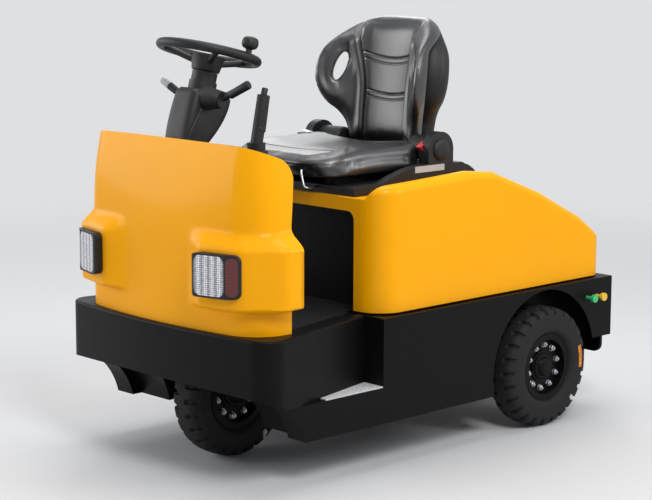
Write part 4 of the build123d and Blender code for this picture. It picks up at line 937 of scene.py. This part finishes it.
# Shell: how far its front lies behind the backrest's and what that loses in the wings, then its outer radius
# and what that loses under the top roll
SHELL_BEHIND, SHELL_WING, SHELL_R, SHELL_TOP = 0.066, 0.034, 0.444, 0.012


def back_axis(z):
    """Y of the upright axis that the backrest is bent about, leaning back by 6 degrees."""
    return BACK_FOOT_Y - BACK_BEND + (z - BACK_FOOT_Z) * np.tan(BACK_LEAN)


def back_form(wide, tall, start, thick):
    """Closed pillow on the bent backrest: at share q of the way from the middle to the outline, height z and
    bend angle f = asin(x / m) with m = start + thick / 2, its two faces lie at radii m -+ thick / 2 *
    sqrt(1 - q^9)."""
    half = smooth_path(BACK_EDGE, 150)
    outline = np.vstack([half, half[-2:0:-1] * (-1, 1)]) - BACK_MID
    q = np.sin(np.linspace(0, pi, BACK_RINGS))[:, None]
    face = np.where(np.arange(BACK_RINGS) < BACK_RINGS // 2, -1.0, 1.0)[:, None]
    flat = BACK_MID + q[..., None] * outline * (wide, tall)
    x, z = flat[..., 0], flat[..., 1]
    deep = thick(np.abs(x), q, z)
    m = start(np.abs(x)) + deep / 2
    r = m + face * deep / 2 * np.sqrt(1 - np.clip(q, 0, 1) ** 9)
    f = np.arcsin(x / m)
    return sheet_of(np.stack([r * np.sin(f), back_axis(z) + r * np.cos(f), z], -1), close_v=True)


def wing(x):
    """0 behind the spine, 1 out in the wings."""
    return step(0.085, 0.165, x)


def back_start(x):
    """Radius of the backrest's front face, drawn in where the wings come forward."""
    return BACK_BEND - WING_AHEAD * step(0.10, 0.22, x)


def back_thick(x, q, z):
    """Thickness of the backrest: thick behind the spine, thin in the wings, with a rolled rim round each wing
    and a roll along the top."""
    top = step(1.28, 1.36, z)
    thin = WING_THINNER * wing(x) * (1 - 0.7 * top)
    return SPINE_THICK - thin + WING_ROLL * wing(x) * bell(q - 0.90, 0.09) + TOP_ROLL * top


def shell_start(x):
    """Radius of the moulded shell's front face, sunk a little into the cover's back."""
    return back_start(x) + SHELL_BEHIND - SHELL_WING * wing(x)


def shell_thick(x, q, z):
    """Thickness of the shell at any q, out to one radius, a little less under the top roll."""
    return SHELL_R - SHELL_TOP * step(1.26, 1.34, z) - shell_start(x)


# Handholds: middle's x and z, how far it lies from the bend's axis, half width and half height
HOLD_X, HOLD_Z, HOLD_OUT, HOLD_WIDE, HOLD_TALL = 0.177, 1.226, 0.240, 0.021, 0.050
# Their turn about Z in radians, how much they lean across for each metre up, and the bar's two ends along it
HOLD_TURN, HOLD_LEAN, HOLD_ENDS = 0.70, 0.36, (-0.08, 0.12)


def handhold(side):
    """Oval bar through a wing, square to it: centre + along * axis + (w cos a) across + (h sin a) up."""
    bend, lean = side * HOLD_TURN, side * HOLD_LEAN
    axis = np.array([sin(bend), cos(bend), 0.0])
    across = np.array([cos(bend), -sin(bend), 0.0])
    up = np.array([0, 0, 1.0]) - across * lean
    along = np.repeat(HOLD_ENDS, 2)[:, None, None]
    size = np.array([0.0, 1.0, 1.0, 0.0])[:, None, None]
    a = np.linspace(0, 2 * pi, 48, endpoint=False)[None, :, None]
    oval = HOLD_WIDE * np.cos(a) * across + HOLD_TALL * np.sin(a) * up
    centre = np.array([side * HOLD_X, back_axis(HOLD_Z) + HOLD_OUT, HOLD_Z])
    return sheet_of(centre + along * axis + size * oval, close_v=True)


def pierced(made, cutters):
    """Cuts closed cutters out of an object and removes them."""
    tool = mesh_of(made.name + "_cutter", cutters)
    item = made.modifiers.new("Handholds", "BOOLEAN")
    item.operation = "DIFFERENCE"
    item.solver = "EXACT"
    item.object = tool
    applied(made)
    bpy.data.objects.remove(tool)


# Seams across the backrest's panel: share of the height and depth, in pairs
PANEL_SEAMS = ((0.672, 1.2), (0.625, 0.7), (0.392, 1.2), (0.347, 0.7))
SEAM_WIDE, SEAM_RISE = 0.0030, 0.016
# The panel's half width at the foot and how much it widens, how far the panel and the bowls round the
# handholds sink, and how far the bolsters stand out
PANEL_HALF, PANEL_SPREAD, PANEL_SINK, BOWL_SINK, BOLSTER_OUT = 0.092, 0.036, 0.006, 0.008, 0.009
# Bowls: middle's x and z, half width and half height
BOWL_X, BOWL_Z, BOWL_WIDE, BOWL_TALL = 0.180, 1.224, 0.040, 0.080


def back_cover(sizes):
    """Backrest from the bent pillow, pierced, remeshed and swollen. Points on its front then move along the
    bend's radius: in over the middle panel and round the handholds, out along the bolsters beside the panel,
    and in by bells across the sewn seams, which rise from the middle by 0.016 (x / 0.1)^2."""
    low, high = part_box("seat_back")
    raw = mesh_of("seat_back_raw", [back_form(1.0, 1.0, back_start, back_thick)])
    pierced(raw, [handhold(1), handhold(-1)])
    made = remeshed("seat_back_cover", raw.data, 0.0045, 8)
    bpy.data.objects.remove(raw)
    swollen(made, sizes.puff * 0.4, points_of(made)[1][:, 1] > 0.3)
    subdivided(made, 10)
    place, normal = points_of(made)
    x, z = np.abs(place[:, 0]), place[:, 2]
    away = np.stack([place[:, 0], place[:, 1] - back_axis(z), 0 * z], 1)
    away /= np.linalg.norm(away, axis=1, keepdims=True)
    front = step(0.2, 0.7, -(normal * away).sum(1))
    h = (z - low.z) / (high.z - low.z)
    edge = PANEL_HALF + PANEL_SPREAD * step(0.40, 0.98, h)
    panel = step(0.010, -0.004, x - edge) * step(1.0, 0.94, h)
    bolster = bell(x - edge - 0.016, 0.013) * step(0.02, 0.15, h) * step(0.93, 0.78, h)
    bowl = step(1.30, 0.75, np.hypot((x - BOWL_X) / BOWL_WIDE, (z - BOWL_Z) / BOWL_TALL))
    move = PANEL_SINK * panel - BOLSTER_OUT * bolster + BOWL_SINK * bowl
    seams = 0.9 * bell(x - edge - 0.002, SEAM_WIDE) * step(0.05, 0.12, h) * step(0.90, 0.80, h)
    for level, depth in PANEL_SEAMS:
        line = low.z + (high.z - low.z) * level + SEAM_RISE * (x / 0.1) ** 2
        seams += depth * bell(z - line, SEAM_WIDE) * step(0.003, -0.003, x - edge)
    place += (front * (move + sizes.seam_depth * np.clip(seams, 0, 1.3)))[:, None] * away
    moved_to(made, place)
    return made


class TRACTOR_OT_seat(bpy.types.Operator):
    """Seat cushion and backrest with their sewn seams, and the backrest's shell"""
    bl_idname = "tractor.seat"
    bl_label = "Seat"

    def execute(self, context):
        sizes = settings()[1]
        cushion = cushion_cover(sizes)
        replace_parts(settle(cushion, "hood", "black_vinyl", 60), "seat_cushion")
        back = back_cover(sizes)
        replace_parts(settle(back, "hood", "black_vinyl", 60), "seat_back")
        shell = mesh_of("seat_back_shell", [back_form(0.84, 0.93, shell_start, shell_thick)])
        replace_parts(settle(shell, "hood", "black_plastic", 50), "seat_shell")
        return {"FINISHED"}


def pale_rays(tree):
    """1 for rays that should meet the pale background: from the camera, off gloss and through glass."""
    path = add(tree, "ShaderNodeLightPath")
    both = add(tree, "ShaderNodeMath", {"operation": "ADD"},
               {0: (path, "Is Camera Ray"), 1: (path, "Is Glossy Ray")})
    return add(tree, "ShaderNodeMath", {"operation": "ADD", "use_clamp": True},
               {0: (both, "Value"), 1: (path, "Is Transmission Ray")})


# Each soft light's name, place, target, width, height and power
LIGHTS = (
    ("key", (3.8, -1.8, 4.2), (0, 0, 0.6), 1.6, 1.6, 150.0),
    ("fill", (4.6, 2.6, 3.0), (0, 0.2, 0.7), 2.0, 2.0, 95.0),
    ("top", (-0.4, 0.2, 5.0), (0, 0, 0.8), 3.4, 3.4, 125.0),
    ("seat", (-4.4, -3.7, 2.2), (0, 0.0, 1.1), 6.0, 2.8, 170.0),
    ("rear", (-3.6, 3.2, 3.6), (0, 0, 0.9), 2.4, 1.8, 55.0))
# The photograph's width and fitted focal length in pixels, and the sensor's width in millimetres
PHOTO_WIDE, FOCAL_PIXELS, SENSOR_WIDE = 652.0, 1900.0, 36.0
# The camera's place, its view, its level line and its roll in degrees
CAMERA_PLACE, CAMERA_ROLL = (4.557, -4.520, 1.670), 0.219
CAMERA_AHEAD, CAMERA_RIGHT = (-0.7112, 0.6838, -0.1630), (0.6931, 0.7208, 0.0)
FLOOR_R = 80.0


class TRACTOR_OT_stage(bpy.types.Operator):
    """Pale round floor that fades into the pale surroundings, soft lights and the camera"""
    bl_idname = "tractor.stage"
    bl_label = "Stage"

    def execute(self, context):
        scene = context.scene
        # Matt studio floor: its own colour under the tractor, an even pale glow from 6 m out
        floor, tree, shader, at = material("pale_studio_floor", {
            "Roughness": 0.6, "Base Color": linear("CFD0D2")})
        reach = add(tree, "ShaderNodeVectorMath", {"operation": "LENGTH"}, at)
        far = add(tree, "ShaderNodeMapRange",
                  {"From Min": 1.6, "From Max": 6.0, "interpolation_type": "SMOOTHSTEP"},
                  {"Value": (reach, "Value")})
        seen = add(tree, "ShaderNodeMath", {"operation": "MULTIPLY"},
                   {0: (pale_rays(tree), "Value"), 1: (far, "Result")})
        glow = add(tree, "ShaderNodeEmission", {"Color": linear("DFE0E2"), "Strength": 1.0})
        mix = add(tree, "ShaderNodeMixShader", None,
                  {"Fac": (seen, "Value"), 1: (shader, "BSDF"), 2: (glow, "Emission")})
        tree.links.new(mix.outputs["Shader"], tree.nodes["Material Output"].inputs["Surface"])
        ring = np.concatenate([[0.0], np.geomspace(0.5, FLOOR_R, 40)])[:, None]
        turn = np.linspace(0, 2 * pi, 96, endpoint=False)[None]
        grid = np.stack(np.broadcast_arrays(ring * np.cos(turn), ring * np.sin(turn), 0.0), -1)
        item = mesh_of("studio_floor", [sheet_of(grid, close_v=True)])
        item.data.materials.append(floor)

        world = bpy.data.worlds.new("studio")
        scene.world = world
        world.use_nodes = True
        sky = world.node_tree.nodes["Background"]
        sky.inputs["Color"].default_value = linear("F2F4F7")
        level = add(world.node_tree, "ShaderNodeMapRange", {"To Min": 0.34, "To Max": 0.80},
                    {"Value": (pale_rays(world.node_tree), "Value")})
        world.node_tree.links.new(level.outputs["Result"], sky.inputs["Strength"])

        for name, place, target, width, height, power in LIGHTS:
            lamp = bpy.data.lights.new(name, "AREA")
            lamp.shape = "RECTANGLE"
            lamp.size, lamp.size_y, lamp.energy = width, height, power
            item = bpy.data.objects.new(name, lamp)
            item.location = place
            item.visible_camera = False
            item.rotation_euler = (Vector(target) - Vector(place)).to_track_quat("-Z", "Y").to_euler()
            scene.collection.objects.link(item)

        lens = bpy.data.cameras.new("photo_view")
        lens.sensor_width = SENSOR_WIDE
        lens.lens = FOCAL_PIXELS * SENSOR_WIDE / PHOTO_WIDE
        lens.clip_end = 200.0
        view = bpy.data.objects.new("photo_view", lens)
        ahead, right = Vector(CAMERA_AHEAD).normalized(), Vector(CAMERA_RIGHT).normalized()
        up = right.cross(ahead)
        turn = Matrix((right, up, -ahead)).transposed() @ Matrix.Rotation(radians(CAMERA_ROLL), 3, "Z")
        view.matrix_world = Matrix.Translation(CAMERA_PLACE) @ turn.to_4x4()
        scene.collection.objects.link(view)
        scene.camera = view
        scene.view_settings.view_transform = "Standard"
        return {"FINISHED"}


class TRACTOR_PT_panel(bpy.types.Panel):
    """Sidebar list of the tractor's pieces"""
    bl_idname = "TRACTOR_PT_panel"
    bl_label = "Tow Tractor"
    bl_space_type = "VIEW_3D"
    bl_region_type = "UI"
    bl_category = "Tractor"

    def draw(self, context):
        for group in (context.scene.tractor_colours, context.scene.tractor_sizes):
            for name in group.__annotations__:
                self.layout.prop(group, name)
        for kind in OPERATORS:
            self.layout.operator(kind.bl_idname)


OPERATORS = (TRACTOR_OT_finishes, TRACTOR_OT_cowl, TRACTOR_OT_tyres, TRACTOR_OT_wheel_nuts,
             TRACTOR_OT_controls, TRACTOR_OT_seat, TRACTOR_OT_seat_fittings, TRACTOR_OT_stage)
CLASSES = (TractorColours, TractorSizes, *OPERATORS, TRACTOR_PT_panel)


def register():
    for kind in CLASSES:
        bpy.utils.register_class(kind)
    bpy.types.Scene.tractor_colours = bpy.props.PointerProperty(type=TractorColours)
    bpy.types.Scene.tractor_sizes = bpy.props.PointerProperty(type=TractorSizes)


def unregister():
    del bpy.types.Scene.tractor_sizes
    del bpy.types.Scene.tractor_colours
    for kind in reversed(CLASSES):
        bpy.utils.unregister_class(kind)


def main():
    register()
    bpy.ops.tractor.finishes()
    bpy.ops.tractor.cowl()
    bpy.ops.tractor.tyres()
    bpy.ops.tractor.wheel_nuts()
    bpy.ops.tractor.controls()
    bpy.ops.tractor.seat()
    bpy.ops.tractor.seat_fittings()
    bpy.ops.tractor.stage()


if __name__ == "__main__":
    main()
